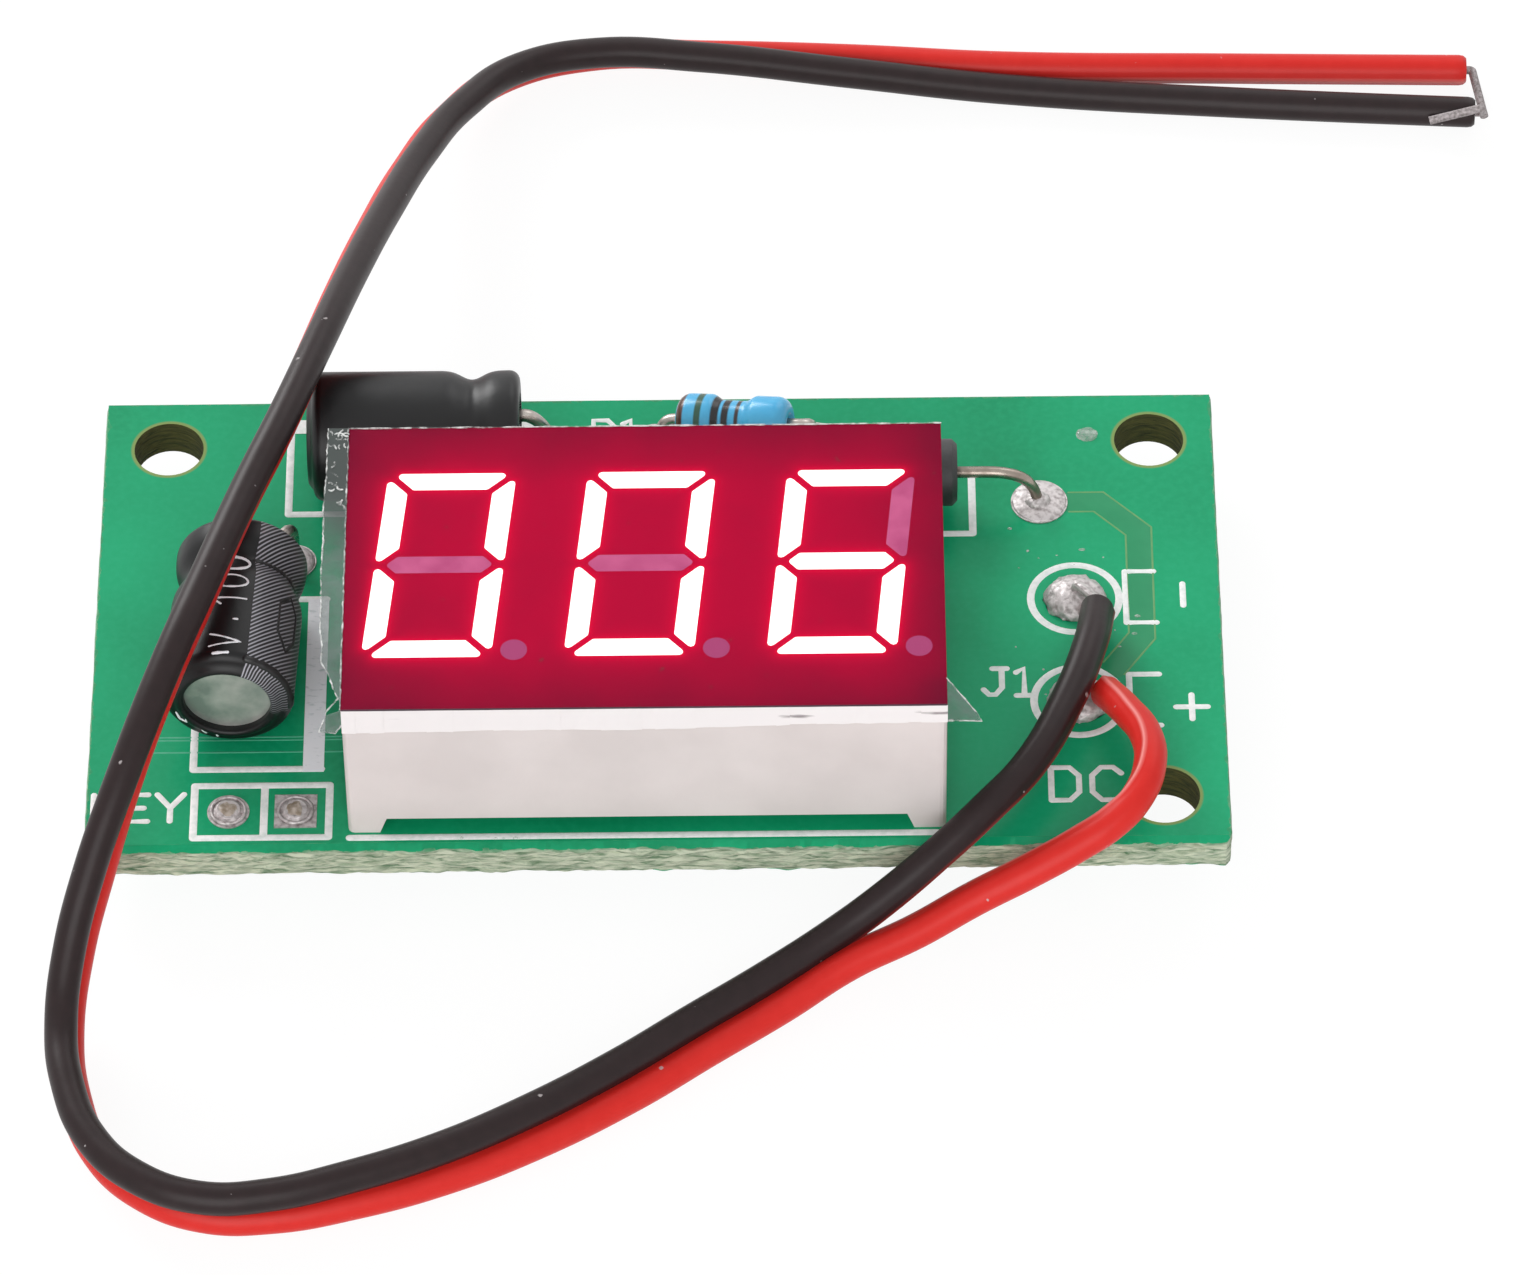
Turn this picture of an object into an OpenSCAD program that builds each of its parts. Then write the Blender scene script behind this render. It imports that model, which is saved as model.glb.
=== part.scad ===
// Three-digit counter module: a green circuit board with a red seven-segment LED display,
// two radial capacitors laid flat, a film resistor, a diode, solder pads for a key
// and a bonded red and black supply lead. Millimetres, +Z up, z = 0 at the lead tips.

/* [Circuit board] */
// Board width, left to right
board_w = 43.1; // [41:0.1:50]
// Board depth, front to rear
board_d = 22.3; // [22:0.1:28]
// Board thickness
board_t = 1.6; // [0.8:0.1:2.4]
// Length of the trimmed leads below the board
lead_stub = 2; // [1.9:0.1:3]
// Diameter of the three screw holes
screw_hole_d = 2.7; // [2:0.1:3.2]
// Screw hole centre to the nearest side edge
hole_inset_side = 2.45; // [2:0.05:3]
// Rear screw hole centre to the rear edge
hole_inset_rear = 2.35; // [1.9:0.05:3]
// Front screw hole centre to the front edge
hole_inset_front = 1.95; // [1.8:0.05:2.4]
// Thickness of a pad's copper and tin
pad_t = 0.05; // [0.03:0.01:0.1]
// Gap between a lead and the wall of its plated hole
hole_gap = 0.15; // [0.1:0.05:0.2]
// Pad diameter round a lead
pad_d = 1.7; // [1.5:0.1:2]
// Depth of the solder cone under a pad
solder_h = 1; // [0.6:0.1:1.4]

/* [Display] */
// Display width
display_w = 22.5; // [22:0.1:24]
// Display depth, front to rear
display_d = 14; // [13:0.1:15]
// Display height above the board
display_h = 7.15; // [6:0.05:9]
// Display centre, right of the board centre
display_x = -0.4; // [-1:0.1:1]
// Display centre, behind the board centre
display_y = -3.65; // [-4:0.05:-3]
// Number that the display shows
reading = 6; // [0:1:999]
// Height of the corner feet
foot_h = 0.8; // [0.5:0.1:1.2]
// Width of a foot at its tip
foot_w = 1.2; // [0.8:0.1:2]
// Housing wall
housing_wall = 1; // [0.8:0.1:1.3]
// Rounding of the housing's upright edges
housing_r = 0.25; // [0.1:0.05:0.5]
// Thickness of the red face
face_t = 0.25; // [0.15:0.05:0.5]
// Thickness of the small board that carries the light chips
substrate_t = 0.8; // [0.6:0.1:1.2]
// Height of a digit
digit_h = 9.14; // [8:0.02:10]
// Width of a digit
digit_w = 4.85; // [4:0.05:5.2]
// Centre of an outer digit to the display's end
digit_margin = 3.7; // [3.6:0.05:4]
// Lean of the digits
digit_slant = 5.4; // [0:0.2:8]
// Width of a segment
segment_w = 0.82; // [0.6:0.02:1]
// Gap between two segments
segment_gap = 0.29; // [0.2:0.01:0.4]
// Rounding of the segments' corners
segment_r = 0.14; // [0.05:0.01:0.2]
// Diameter of a decimal point
point_d = 1; // [0.6:0.05:1.2]
// Pin diameter
pin_d = 0.5; // [0.4:0.05:0.6]
// Pin spacing along a row
pin_pitch = 2.54; // [2:0.02:2.8]
// Distance between the two pin rows
pin_rows = 10.16; // [9:0.02:10.6]
// Thickness of the clear film on the face
film_t = 0.08; // [0.05:0.01:0.15]
// How far the film stands out at the left
film_overhang = 0.83; // [0.4:0.01:1.2]
// How far the film folds down at the front
film_fold = 0.9; // [0.4:0.05:1.4]

/* [Capacitors] */
// Capacitor diameter over the sleeve
cap_d = 5; // [4:0.1:5.5]
// Length of the left capacitor
left_cap_l = 7.2; // [6:0.1:9]
// Length of the rear capacitor
rear_cap_l = 8; // [6:0.1:9]
// Sleeve thickness
sleeve_t = 0.15; // [0.1:0.05:0.3]
// Width of the bare disc inside the sleeve's rolled lip
lip_d = 3.3; // [2.4:0.1:3.6]
// Thickness of the rubber bung
bung_t = 1.2; // [0.8:0.1:1.4]
// Depth of the crimped groove
groove_depth = 0.35; // [0.1:0.05:0.5]
// Lead diameter
cap_lead_d = 0.5; // [0.4:0.05:0.6]
// Lead spacing at the bung
cap_lead_pitch = 2; // [1.5:0.1:2.5]
// Lead spacing at the board
cap_hole_pitch = 2.5; // [2:0.1:3]

/* [Resistor] */
// Resistor length
resistor_l = 4.5; // [3.5:0.1:5]
// Resistor diameter at its ends
resistor_d = 2.1; // [1.6:0.1:2.4]
// Resistor diameter at its waist
resistor_waist_d = 1.7; // [1.2:0.1:2]
// Resistor hole spacing
resistor_pitch = 6.2; // [6:0.1:7.6]
// Resistor lead diameter
resistor_lead_d = 0.45; // [0.4:0.05:0.6]

/* [Diode] */
// Diode length
diode_l = 4.8; // [4:0.1:5.2]
// Diode diameter
diode_d = 2.6; // [2:0.1:2.7]
// Gap between the diode and the board
diode_lift = 0.5; // [0.1:0.1:1]
// Diode hole spacing
diode_pitch = 10.16; // [9:0.02:11]
// Diode lead diameter
diode_lead_d = 0.45; // [0.4:0.05:0.7]
// Pad diameter of the diode and the supply lead
large_pad_d = 2.2; // [1.9:0.1:2.4]

/* [Supply lead and key pads] */
// Diameter of each insulated wire
wire_d = 1.25; // [1:0.05:1.25]
// Diameter of the tinned core
core_d = 0.35; // [0.3:0.05:0.5]
// Distance between the two supply pads
supply_pitch = 5.08; // [4:0.02:6]
// Height of the solder dome on a supply pad
dome_h = 0.6; // [0.3:0.1:0.8]
// Distance between the two key pads
key_pitch = 2.54; // [2.2:0.02:3]
// Width of a key pad
key_pad_w = 1.6; // [1.2:0.1:1.9]
// Diameter of a key hole
key_hole_d = 0.8; // [0.6:0.1:1]

/* [Chips under the board] */
// Controller body length
chip_l = 9.9; // [8:0.1:11]
// Controller body width
chip_w = 3.9; // [3:0.1:4.5]
// Controller body height
chip_h = 1.45; // [1:0.05:1.6]
// Controller leg spacing
leg_pitch = 1.27; // [1:0.01:1.27]
// Controller width over its legs
leg_span = 6; // [5:0.1:6.4]
// Regulator body width
regulator_w = 4.5; // [3:0.1:5]
// Regulator body height
regulator_h = 1.5; // [1:0.1:1.6]
// Chip resistor length
chip_resistor_l = 2; // [1.6:0.1:2.2]
// Chip resistor width
chip_resistor_w = 1.25; // [0.8:0.05:1.4]

/* [Hidden] */
$fn = 48;

// Heights
board_z = lead_stub;
top_z = board_z + board_t;
pad_top_z = top_z + pad_t;
pad_under_z = board_z - pad_t;
face_z = top_z + display_h;

// A sliver of room round every part that sits in a hole, and an overrun for clean cuts
fit = 0.02;
cut = 1;
lead_sides = 12;
bend_r = 0.7;

// Vectors, rounded corners and swept tubes
function unit(v) = v / norm(v);
function reversed(list) = [for (i = [len(list) - 1 : -1 : 0]) list[i]];
function mirrored(points, x, y) = [for (p = points) [p[0] * x, p[1] * y]];

// An arc at corner b takes at most this share of either side, so two arcs never meet
corner_share = 0.45;
function corner_arc(a, b, c, r, steps) =
    let (
        u = unit(a - b),
        v = unit(c - b),
        half = acos(u * v) / 2,
        reach = min(r / tan(half), corner_share * min(norm(a - b), norm(c - b))),
        arc_r = reach * tan(half),
        centre = b + unit(u + v) * arc_r / sin(half),
        from = (b + u * reach - centre) / arc_r,
        to = (b + v * reach - centre) / arc_r,
        turn = 180 - 2 * half
    )
    [for (i = [0 : steps]) let (a = i * turn / steps)
        centre + arc_r * (sin(turn - a) * from + sin(a) * to) / sin(turn)];

function rounded_loop(points, r, steps = 3) =
    let (n = len(points))
    [for (i = [0 : n - 1])
        each corner_arc(points[(i + n - 1) % n], points[i], points[(i + 1) % n], r, steps)];

function rounded_line(points, r, steps = 4) =
    let (last = len(points) - 1)
    concat(
        [points[0]],
        [for (i = [1 : last - 1]) each corner_arc(points[i - 1], points[i], points[i + 1], r, steps)],
        [points[last]]
    );

function heading(path, i) = unit(path[min(i + 1, len(path) - 1)] - path[max(i - 1, 0)]);

// A round tube along a path: level is any direction that the path never follows
module tube(path, d, sides, level) {
    last = len(path) - 1;
    points = [for (i = [0 : last])
        let (t = heading(path, i), a = unit(cross(level, t)), b = cross(t, a))
        for (j = [0 : sides - 1])
            path[i] + d / 2 * (cos(j * 360 / sides) * a + sin(j * 360 / sides) * b)];
    walls = [for (i = [0 : last - 1], j = [0 : sides - 1])
        let (k = (j + 1) % sides)
        [i * sides + j, (i + 1) * sides + j, (i + 1) * sides + k, i * sides + k]];
    start_cap = [for (j = [0 : sides - 1]) j];
    end_cap = [for (j = [sides - 1 : -1 : 0]) last * sides + j];
    polyhedron(points, concat(walls, [start_cap, end_cap]), convexity = 10);
}

// Places of the parts on the board
left_bung = [-15.85, 1, top_z + cap_d / 2];
left_turn = 87;
left_holes = [-15.3, 2.9];
rear_bung = [-5.3, 7.15, top_z + cap_d / 2];
rear_turn = 0;
rear_holes = [-3.9, 7.15];
resistor_at = [2.98, 9, top_z + resistor_d / 2];
diode_at = [9.15, 5.6, top_z + diode_lift + diode_d / 2];
diode_holes_x = 9.67;
minus_pad = [16, 0.58];
plus_pad = minus_pad - [0, supply_pitch];
round_key_pad = [-16.2, -9.6];
square_key_pad = round_key_pad + [key_pitch, 0];
chip_at = [display_x, display_y];
regulator_at = [11, -0.6];
chip_resistor_at = [-11.5, 4];
chip_resistor_pitch = 2;
chip_resistor_count = 8;

screw_holes = [
    [hole_inset_side - board_w / 2, board_d / 2 - hole_inset_rear],
    [board_w / 2 - hole_inset_side, board_d / 2 - hole_inset_rear],
    [board_w / 2 - hole_inset_side, hole_inset_front - board_d / 2]
];

// Display pins: six in the rear row and five in the front row
rear_pin_count = 6;
front_pin_count = 5;
display_pin_places = concat(
    [for (i = [0 : rear_pin_count - 1])
        [display_x + (i - (rear_pin_count - 1) / 2) * pin_pitch, display_y + pin_rows / 2]],
    [for (i = [0 : front_pin_count - 1])
        [display_x + (i - (rear_pin_count - 1) / 2) * pin_pitch, display_y - pin_rows / 2]]
);
function pair_x(centre, pitch) = [centre - [pitch / 2, 0], centre + [pitch / 2, 0]];
function pair_y(centre, pitch) = [centre - [0, pitch / 2], centre + [0, pitch / 2]];
left_cap_holes = pair_x(left_holes, cap_hole_pitch);
rear_cap_holes = pair_y(rear_holes, cap_hole_pitch);
resistor_holes = pair_x([resistor_at[0], resistor_at[1]], resistor_pitch);
diode_holes = pair_x([diode_holes_x, diode_at[1]], diode_pitch);

// Every soldered hole: place, lead diameter, pad diameter, height of the solder on top
low_dome_h = 0.15;
soldered = concat(
    [for (p = display_pin_places) [p, pin_d, pad_d, low_dome_h]],
    [for (p = left_cap_holes) [p, cap_lead_d, pad_d, low_dome_h]],
    [for (p = rear_cap_holes) [p, cap_lead_d, pad_d, low_dome_h]],
    [for (p = resistor_holes) [p, resistor_lead_d, pad_d, low_dome_h]],
    [for (p = diode_holes) [p, diode_lead_d, large_pad_d, low_dome_h]],
    [for (p = [minus_pad, plus_pad]) [p, core_d, large_pad_d, dome_h]]
);
function plated_r(lead_d) = lead_d / 2 + hole_gap;

// Circuit board
module circuit_board() {
    color("#1f9a63")
    difference() {
        translate([-board_w / 2, -board_d / 2, board_z]) cube([board_w, board_d, board_t]);
        for (p = screw_holes)
            translate([p[0], p[1], board_z - cut]) cylinder(d = screw_hole_d, h = board_t + 2 * cut);
        for (s = soldered)
            translate([s[0][0], s[0][1], board_z - cut])
                cylinder(r = plated_r(s[1]) + pad_t, h = board_t + 2 * cut);
        for (p = [round_key_pad, square_key_pad])
            translate([p[0], p[1], board_z - cut])
                cylinder(d = key_hole_d + 2 * pad_t, h = board_t + 2 * cut);
    }
}

// Plated pads: each is a ring on both faces and the plated wall between them
module eyelet(hole_r, outer_d) {
    outer_r = outer_d / 2;
    wall_r = hole_r + pad_t;
    rotate_extrude()
        polygon([
            [hole_r, pad_under_z], [outer_r, pad_under_z], [outer_r, board_z], [wall_r, board_z],
            [wall_r, top_z], [outer_r, top_z], [outer_r, pad_top_z], [hole_r, pad_top_z]
        ]);
}
module plated_pads() {
    color("#c9c7c0") {
        for (s = soldered)
            translate([s[0][0], s[0][1], 0]) eyelet(plated_r(s[1]), s[2]);
        translate([round_key_pad[0], round_key_pad[1], 0]) eyelet(key_hole_d / 2, key_pad_w);
        translate([square_key_pad[0], square_key_pad[1], 0])
            difference() {
                union() {
                    for (z = [pad_under_z, top_z])
                        translate([-key_pad_w / 2, -key_pad_w / 2, z]) cube([key_pad_w, key_pad_w, pad_t]);
                    translate([0, 0, board_z]) cylinder(d = key_hole_d + 2 * pad_t, h = board_t);
                }
                translate([0, 0, board_z - cut]) cylinder(d = key_hole_d, h = board_t + 2 * cut);
            }
    }
}

// Solder: a cone under the board, a plug in the hole and a low dome on top, bored for the lead
module solder_joint(lead_r, hole_r, outer_d, top_h) {
    rim = outer_d / 2 - pad_t;
    arc_steps = 5;
    cone = [for (i = [0 : arc_steps]) let (a = i * 90 / arc_steps)
        [rim - (rim - lead_r - 2 * pad_t) * sin(a), pad_under_z - solder_h * (1 - cos(a))]];
    dome = [for (i = [0 : arc_steps]) let (a = i * 90 / arc_steps)
        [lead_r + fit + (rim - lead_r - fit) * sin(a), pad_top_z + top_h * cos(a)]];
    rotate_extrude()
        polygon(concat(
            [[lead_r + fit, pad_under_z - solder_h]], reversed(cone),
            [[hole_r - fit, pad_under_z], [hole_r - fit, pad_top_z]], reversed(dome)
        ));
}
module solder_joints() {
    color("#a9a8a4") {
        for (s = soldered)
            translate([s[0][0], s[0][1], 0])
                solder_joint(s[1] / 2, plated_r(s[1]), s[2], s[3]);
        for (p = [round_key_pad, square_key_pad])
            translate([p[0], p[1], pad_under_z]) {
                cylinder(d = key_hole_d - 2 * fit, h = pad_top_z - pad_under_z);
                translate([0, 0, pad_top_z - pad_under_z])
                    cylinder(d1 = key_pad_w - 2 * hole_gap, d2 = key_hole_d, h = low_dome_h);
            }
    }
}

// Seven-segment digits
half_w = digit_w / 2;
half_h = digit_h / 2;
half_gap = segment_gap / sqrt(2);
bar = [
    [half_gap - half_w, half_h], [half_w - half_gap, half_h],
    [half_w - segment_w - half_gap, half_h - segment_w], [segment_w + half_gap - half_w, half_h - segment_w]
];
post = [
    [-half_w, half_h - half_gap], [segment_w - half_w, half_h - segment_w - half_gap],
    [segment_w - half_w, segment_w / 2 + 2 * half_gap], [-half_w, 2 * half_gap - segment_w / 2]
];
middle = [
    [segment_w / 2 - half_w, 0], [segment_w - half_w, segment_w / 2], [half_w - segment_w, segment_w / 2],
    [half_w - segment_w / 2, 0], [half_w - segment_w, -segment_w / 2], [segment_w - half_w, -segment_w / 2]
];
// In the usual order: top, upper right, lower right, bottom, lower left, upper left, middle
segment_outlines = [
    bar, mirrored(post, -1, 1), mirrored(post, -1, -1), mirrored(bar, 1, -1),
    mirrored(post, 1, -1), post, middle
];
digit_segments = [
    [1, 1, 1, 1, 1, 1, 0], [0, 1, 1, 0, 0, 0, 0], [1, 1, 0, 1, 1, 0, 1], [1, 1, 1, 1, 0, 0, 1],
    [0, 1, 1, 0, 0, 1, 1], [1, 0, 1, 1, 0, 1, 1], [1, 0, 1, 1, 1, 1, 1], [1, 1, 1, 0, 0, 0, 0],
    [1, 1, 1, 1, 1, 1, 1], [1, 1, 1, 1, 0, 1, 1]
];
number = floor(reading);
shown = [floor(number / 100) % 10, floor(number / 10) % 10, number % 10];
digit_pitch = display_w / 2 - digit_margin;
digits_dx = -0.15;
digits_dy = 0.1;
point_gap = 0.35;
point_drop = 0.17;
function digit_centre(d) = [display_x + digits_dx + (d - 1) * digit_pitch, display_y + digits_dy];
function leaning(p) = [p[0] + p[1] * tan(digit_slant), p[1]];
function segment_shape(d, s) =
    [for (p = rounded_loop(segment_outlines[s], segment_r)) digit_centre(d) + leaning(p)];
function mean(points) = [for (p = points) 1] * points / len(points);
function segment_middle(d, s) = digit_centre(d) + leaning(mean(segment_outlines[s]));
function point_centre(d) =
    digit_centre(d) + leaning([half_w, -half_h]) + [point_gap + point_d / 2, point_d / 2 - point_drop];

module segment_shapes(state) {
    for (d = [0 : 2], s = [0 : 6])
        if (digit_segments[shown[d]][s] == state) polygon(segment_shape(d, s));
}
module lit_shapes() { segment_shapes(1); }
module unlit_shapes() {
    segment_shapes(0);
    for (d = [0 : 2]) translate(point_centre(d)) circle(d = point_d);
}

// Display heights: the light chips stand on the substrate and the plugs fill the wells above them
substrate_inset = 0.2;
substrate_z = top_z + foot_h + substrate_inset;
well_z = substrate_z + substrate_t;
light_chip_w = 0.3;
light_chip_h = 0.2;
light_gap = 0.2;
plug_z = well_z + light_chip_h + light_gap;

function display_outline(inset) =
    let (x = display_w / 2 - inset, y = display_d / 2 - inset)
    [[-x, -y], [x, -y], [x, y], [-x, y]];

// Slots that leave four feet, with slanted inner sides
foot_slant = 0.27;
module foot_slots(span, run) {
    low = span / 2 - foot_w;
    high = low - foot_slant;
    rotate([90, 0, 0])
        linear_extrude(run + 2 * cut, center = true)
            polygon([[-low, -cut], [low, -cut], [low, 0], [high, foot_h], [-high, foot_h], [-low, 0]]);
}
module display_housing() {
    color("#dcd9d2")
    difference() {
        translate([display_x, display_y, top_z])
            difference() {
                linear_extrude(display_h - face_t) polygon(rounded_loop(display_outline(0), housing_r));
                translate([0, 0, -cut])
                    linear_extrude(well_z - top_z + cut) polygon(display_outline(housing_wall));
                foot_slots(display_w, display_d);
                rotate([0, 0, 90]) foot_slots(display_d, display_w);
            }
        translate([0, 0, well_z - cut])
            linear_extrude(display_h) {
                lit_shapes();
                unlit_shapes();
            }
    }
}
module display_face() {
    color("#a30f3a")
    translate([0, 0, face_z - face_t])
        linear_extrude(face_t)
            difference() {
                translate([display_x, display_y]) polygon(rounded_loop(display_outline(0), housing_r));
                lit_shapes();
                unlit_shapes();
            }
}
module lit_segments() {
    color("#fff4f2") translate([0, 0, plug_z]) linear_extrude(face_z - plug_z) lit_shapes();
}
module unlit_segments() {
    color("#c0628d") translate([0, 0, plug_z]) linear_extrude(face_z - plug_z) unlit_shapes();
}
module led_chips() {
    color("#d8b13a") {
        for (d = [0 : 2], s = [0 : 6])
            translate(concat(segment_middle(d, s), [well_z + light_chip_h / 2]))
                cube([light_chip_w, light_chip_w, light_chip_h], center = true);
        for (d = [0 : 2])
            translate(concat(point_centre(d), [well_z + light_chip_h / 2]))
                cube([light_chip_w, light_chip_w, light_chip_h], center = true);
    }
}
module display_substrate() {
    color("#2f6b4a")
    difference() {
        translate([display_x, display_y, substrate_z])
            linear_extrude(substrate_t) polygon(display_outline(housing_wall + fit));
        for (p = display_pin_places)
            translate([p[0], p[1], substrate_z - cut])
                cylinder(d = pin_d + 2 * fit, h = substrate_t + 2 * cut);
    }
}
module display_pins() {
    color("#c4c2bb")
    for (p = display_pin_places)
        translate([p[0], p[1], 0]) cylinder(d = pin_d, h = well_z);
}

// Clear film: a sheet over the face with a torn left strip, a fold over the front edge,
// and two ears where the fold runs past the housing's corners
tear_d = 2;
tear_end = 0.2;
left_ear_top = -0.2;
left_ear_fold = 1.2;
ear_w = 1.25;
ear_d = 1.3;
module protective_film() {
    x = display_w / 2;
    y = display_d / 2;
    left = -x - film_overhang;
    color([0.85, 0.9, 0.9, 0.35])
    translate([display_x, display_y, face_z]) {
        linear_extrude(film_t)
            polygon([
                [-x, -y - film_t], [x, -y - film_t], [x, y], [left, y], [left, tear_d - y], [-x, tear_end - y]
            ]);
        translate([0, -y, 0])
            rotate([90, 0, 0])
                linear_extrude(film_t)
                    polygon([
                        [-x, film_t], [left, left_ear_top], [left, -left_ear_fold], [-x, -film_fold],
                        [x, -film_fold], [x + ear_w, -film_fold], [x, film_t]
                    ]);
        polyhedron(
            [
                [x, ear_d - y, 0], [x, -y - film_t, 0], [x + ear_w, -y - film_t, -film_fold],
                [x, ear_d - y, film_t], [x, -y - film_t, film_t], [x + ear_w, -y - film_t, film_t - film_fold]
            ],
            [[0, 1, 2], [5, 4, 3], [3, 4, 1, 0], [4, 5, 2, 1], [5, 3, 0, 2]]
        );
    }
}

// Capacitors, built upright from the bung and laid flat
groove_w = 1.2;
groove_at = 1.85;
end_r = 0.4;
bung_d = cap_d - 2 * sleeve_t - 2 * end_r - 2 * fit;
function cap_outline(l, inset) =
    let (r = cap_d / 2 - inset, steps = 8)
    concat(
        [for (a = [-90 : 30 : 0]) [r - end_r + end_r * cos(a), inset + end_r + end_r * sin(a)]],
        [for (i = [0 : steps])
            [r - groove_depth * (1 - cos(i * 360 / steps)) / 2, groove_at + groove_w * (i / steps - 0.5)]],
        [for (a = [0 : 30 : 90]) [r - end_r + end_r * cos(a), l - inset - end_r + end_r * sin(a)]]
    );
module laid(bung, turn) {
    translate(bung) rotate([0, 0, turn]) rotate([0, -90, 0]) children();
}
module cap_can(l) {
    color("#c3c8c6")
    rotate_extrude()
        polygon(concat(
            [[0, sleeve_t + bung_t], [bung_d / 2 + fit, sleeve_t + bung_t], [bung_d / 2 + fit, sleeve_t]],
            cap_outline(l, sleeve_t), [[0, l - sleeve_t]]
        ));
}
module cap_sleeve(l) {
    color("#26262a")
    rotate_extrude()
        polygon(concat(
            cap_outline(l, 0), [[lip_d / 2, l], [lip_d / 2, l - sleeve_t]],
            reversed(cap_outline(l, sleeve_t)), [[lip_d / 2, sleeve_t], [lip_d / 2, 0]]
        ));
}
module cap_bung() {
    color("#1c1c1e")
    difference() {
        translate([0, 0, sleeve_t]) cylinder(d = bung_d, h = bung_t);
        for (side = [-1, 1])
            translate([0, side * cap_lead_pitch / 2, -cut])
                cylinder(d = cap_lead_d + 2 * fit, h = bung_t + 2 * cut);
    }
}
// Two leads run straight out of the bung, spread to their holes and turn down
lead_straight = 0.4;
module cap_leads(bung, turn, holes) {
    out = [cos(turn), sin(turn), 0];
    side = [-sin(turn), cos(turn), 0];
    color("#b9b7b1")
    for (i = [0, 1]) {
        start = bung + side * cap_lead_pitch * (i - 0.5);
        hole = holes[i];
        path = [
            start - out * (sleeve_t + bung_t), start + out * lead_straight,
            [hole[0], hole[1], bung[2] - lead_straight], [hole[0], hole[1], 0]
        ];
        tube(rounded_line(path, bend_r), cap_lead_d, lead_sides, side);
    }
}
module left_capacitor_can() { laid(left_bung, left_turn) cap_can(left_cap_l); }
module left_capacitor_sleeve() { laid(left_bung, left_turn) cap_sleeve(left_cap_l); }
module left_capacitor_bung() { laid(left_bung, left_turn) cap_bung(); }
module left_capacitor_leads() { cap_leads(left_bung, left_turn, reversed(left_cap_holes)); }
module rear_capacitor_can() { laid(rear_bung, rear_turn) cap_can(rear_cap_l); }
module rear_capacitor_sleeve() { laid(rear_bung, rear_turn) cap_sleeve(rear_cap_l); }
module rear_capacitor_bung() { laid(rear_bung, rear_turn) cap_bung(); }
module rear_capacitor_leads() { cap_leads(rear_bung, rear_turn, rear_cap_holes); }

// Resistor: a dumbbell of lacquer over end caps, with a lead pressed into each cap
module resistor_body() {
    shoulder_r = 0.5;
    cap_l = 1.3;
    flare = 0.5;
    steps = 6;
    r = resistor_d / 2;
    end = resistor_l / 2;
    waist_step = (resistor_d - resistor_waist_d) / 2;
    shoulder = [for (i = [0 : steps]) let (a = i * 90 / steps)
        [r - shoulder_r + shoulder_r * sin(a), shoulder_r * (1 - cos(a)) - end]];
    neck = [for (i = [0 : steps])
        [r - waist_step * (1 - cos(i * 180 / steps)) / 2, cap_l + flare * i / steps - end]];
    left = concat(shoulder, neck);
    right = reversed(mirrored(left, 1, -1));
    color("#3f9ad6")
    translate(resistor_at)
        rotate([0, 90, 0])
            rotate_extrude() polygon(concat([[0, -end]], left, right, [[0, end]]));
}
// An axial lead leaves a body's end along X and turns down into its hole
module axial_lead(body_end, hole, d) {
    corner = [hole[0], hole[1], body_end[2]];
    foot = [hole[0], hole[1], 0];
    tube(rounded_line([body_end, corner, foot], bend_r), d, lead_sides, [0, 1, 0]);
}
module resistor_leads() {
    color("#b9b7b1")
    for (i = [0, 1])
        axial_lead(resistor_at + [(i - 0.5) * resistor_l, 0, 0], resistor_holes[i], resistor_lead_d);
}

// Diode: a moulded cylinder with bevelled rims
module diode_body() {
    bevel = 0.2;
    r = diode_d / 2;
    h = diode_l / 2;
    color("#232325")
    translate(diode_at)
        rotate([0, 90, 0])
            rotate_extrude()
                polygon([[0, -h], [r - bevel, -h], [r, bevel - h], [r, h - bevel], [r - bevel, h], [0, h]]);
}
module diode_leads() {
    color("#a39c92")
    for (i = [0, 1])
        axial_lead(diode_at + [(i - 0.5) * diode_l, 0, 0], diode_holes[i], diode_lead_d);
}

// Supply lead: the black wire's route from its solder pad to its bare end
black_route = [
    [16.8, -0.7, 4.6], [16.4, -3.1, 5.3], [15.4, -6.2, 5.5], [13.9, -9.2, 5.4], [12.4, -10.9, 5.1],
    [10.5, -12.4, 4.2], [8.5, -13.6, 3.1], [6.5, -14.7, 2.2], [4, -16.3, 1.7], [1.3, -18.2, 1.6],
    [-1.5, -20.2, 1.5], [-5, -22.6, 1.7], [-8.1, -24.3, 1.8], [-11.3, -25.6, 1.9], [-14.2, -26.4, 1.9],
    [-16.8, -26.5, 1.9], [-19.2, -25.5, 1.9], [-20.9, -23.7, 1.9], [-21.9, -21.1, 2], [-22.2, -18.6, 2.3],
    [-21.9, -16.4, 3.8], [-21.1, -14.4, 6], [-19.8, -11.7, 8.4], [-18.3, -8, 10.1], [-16.9, -4.1, 10.7],
    [-15.5, 0.2, 10.8], [-14.1, 4.2, 10.8], [-13, 8.2, 10.2], [-11.8, 13.8, 8.4], [-10.7, 18.9, 6.4],
    [-9.4, 24.1, 4.3], [-7.9, 28.1, 2.8], [-5.7, 31, 1.9], [-2.5, 32, 1.7], [1.6, 31.8, 1.6],
    [7.7, 31.2, 1.2], [13.8, 30.7, 0.7], [23.2, 29.8, 0.7], [33.1, 29.1, 0.7]
];
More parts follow.
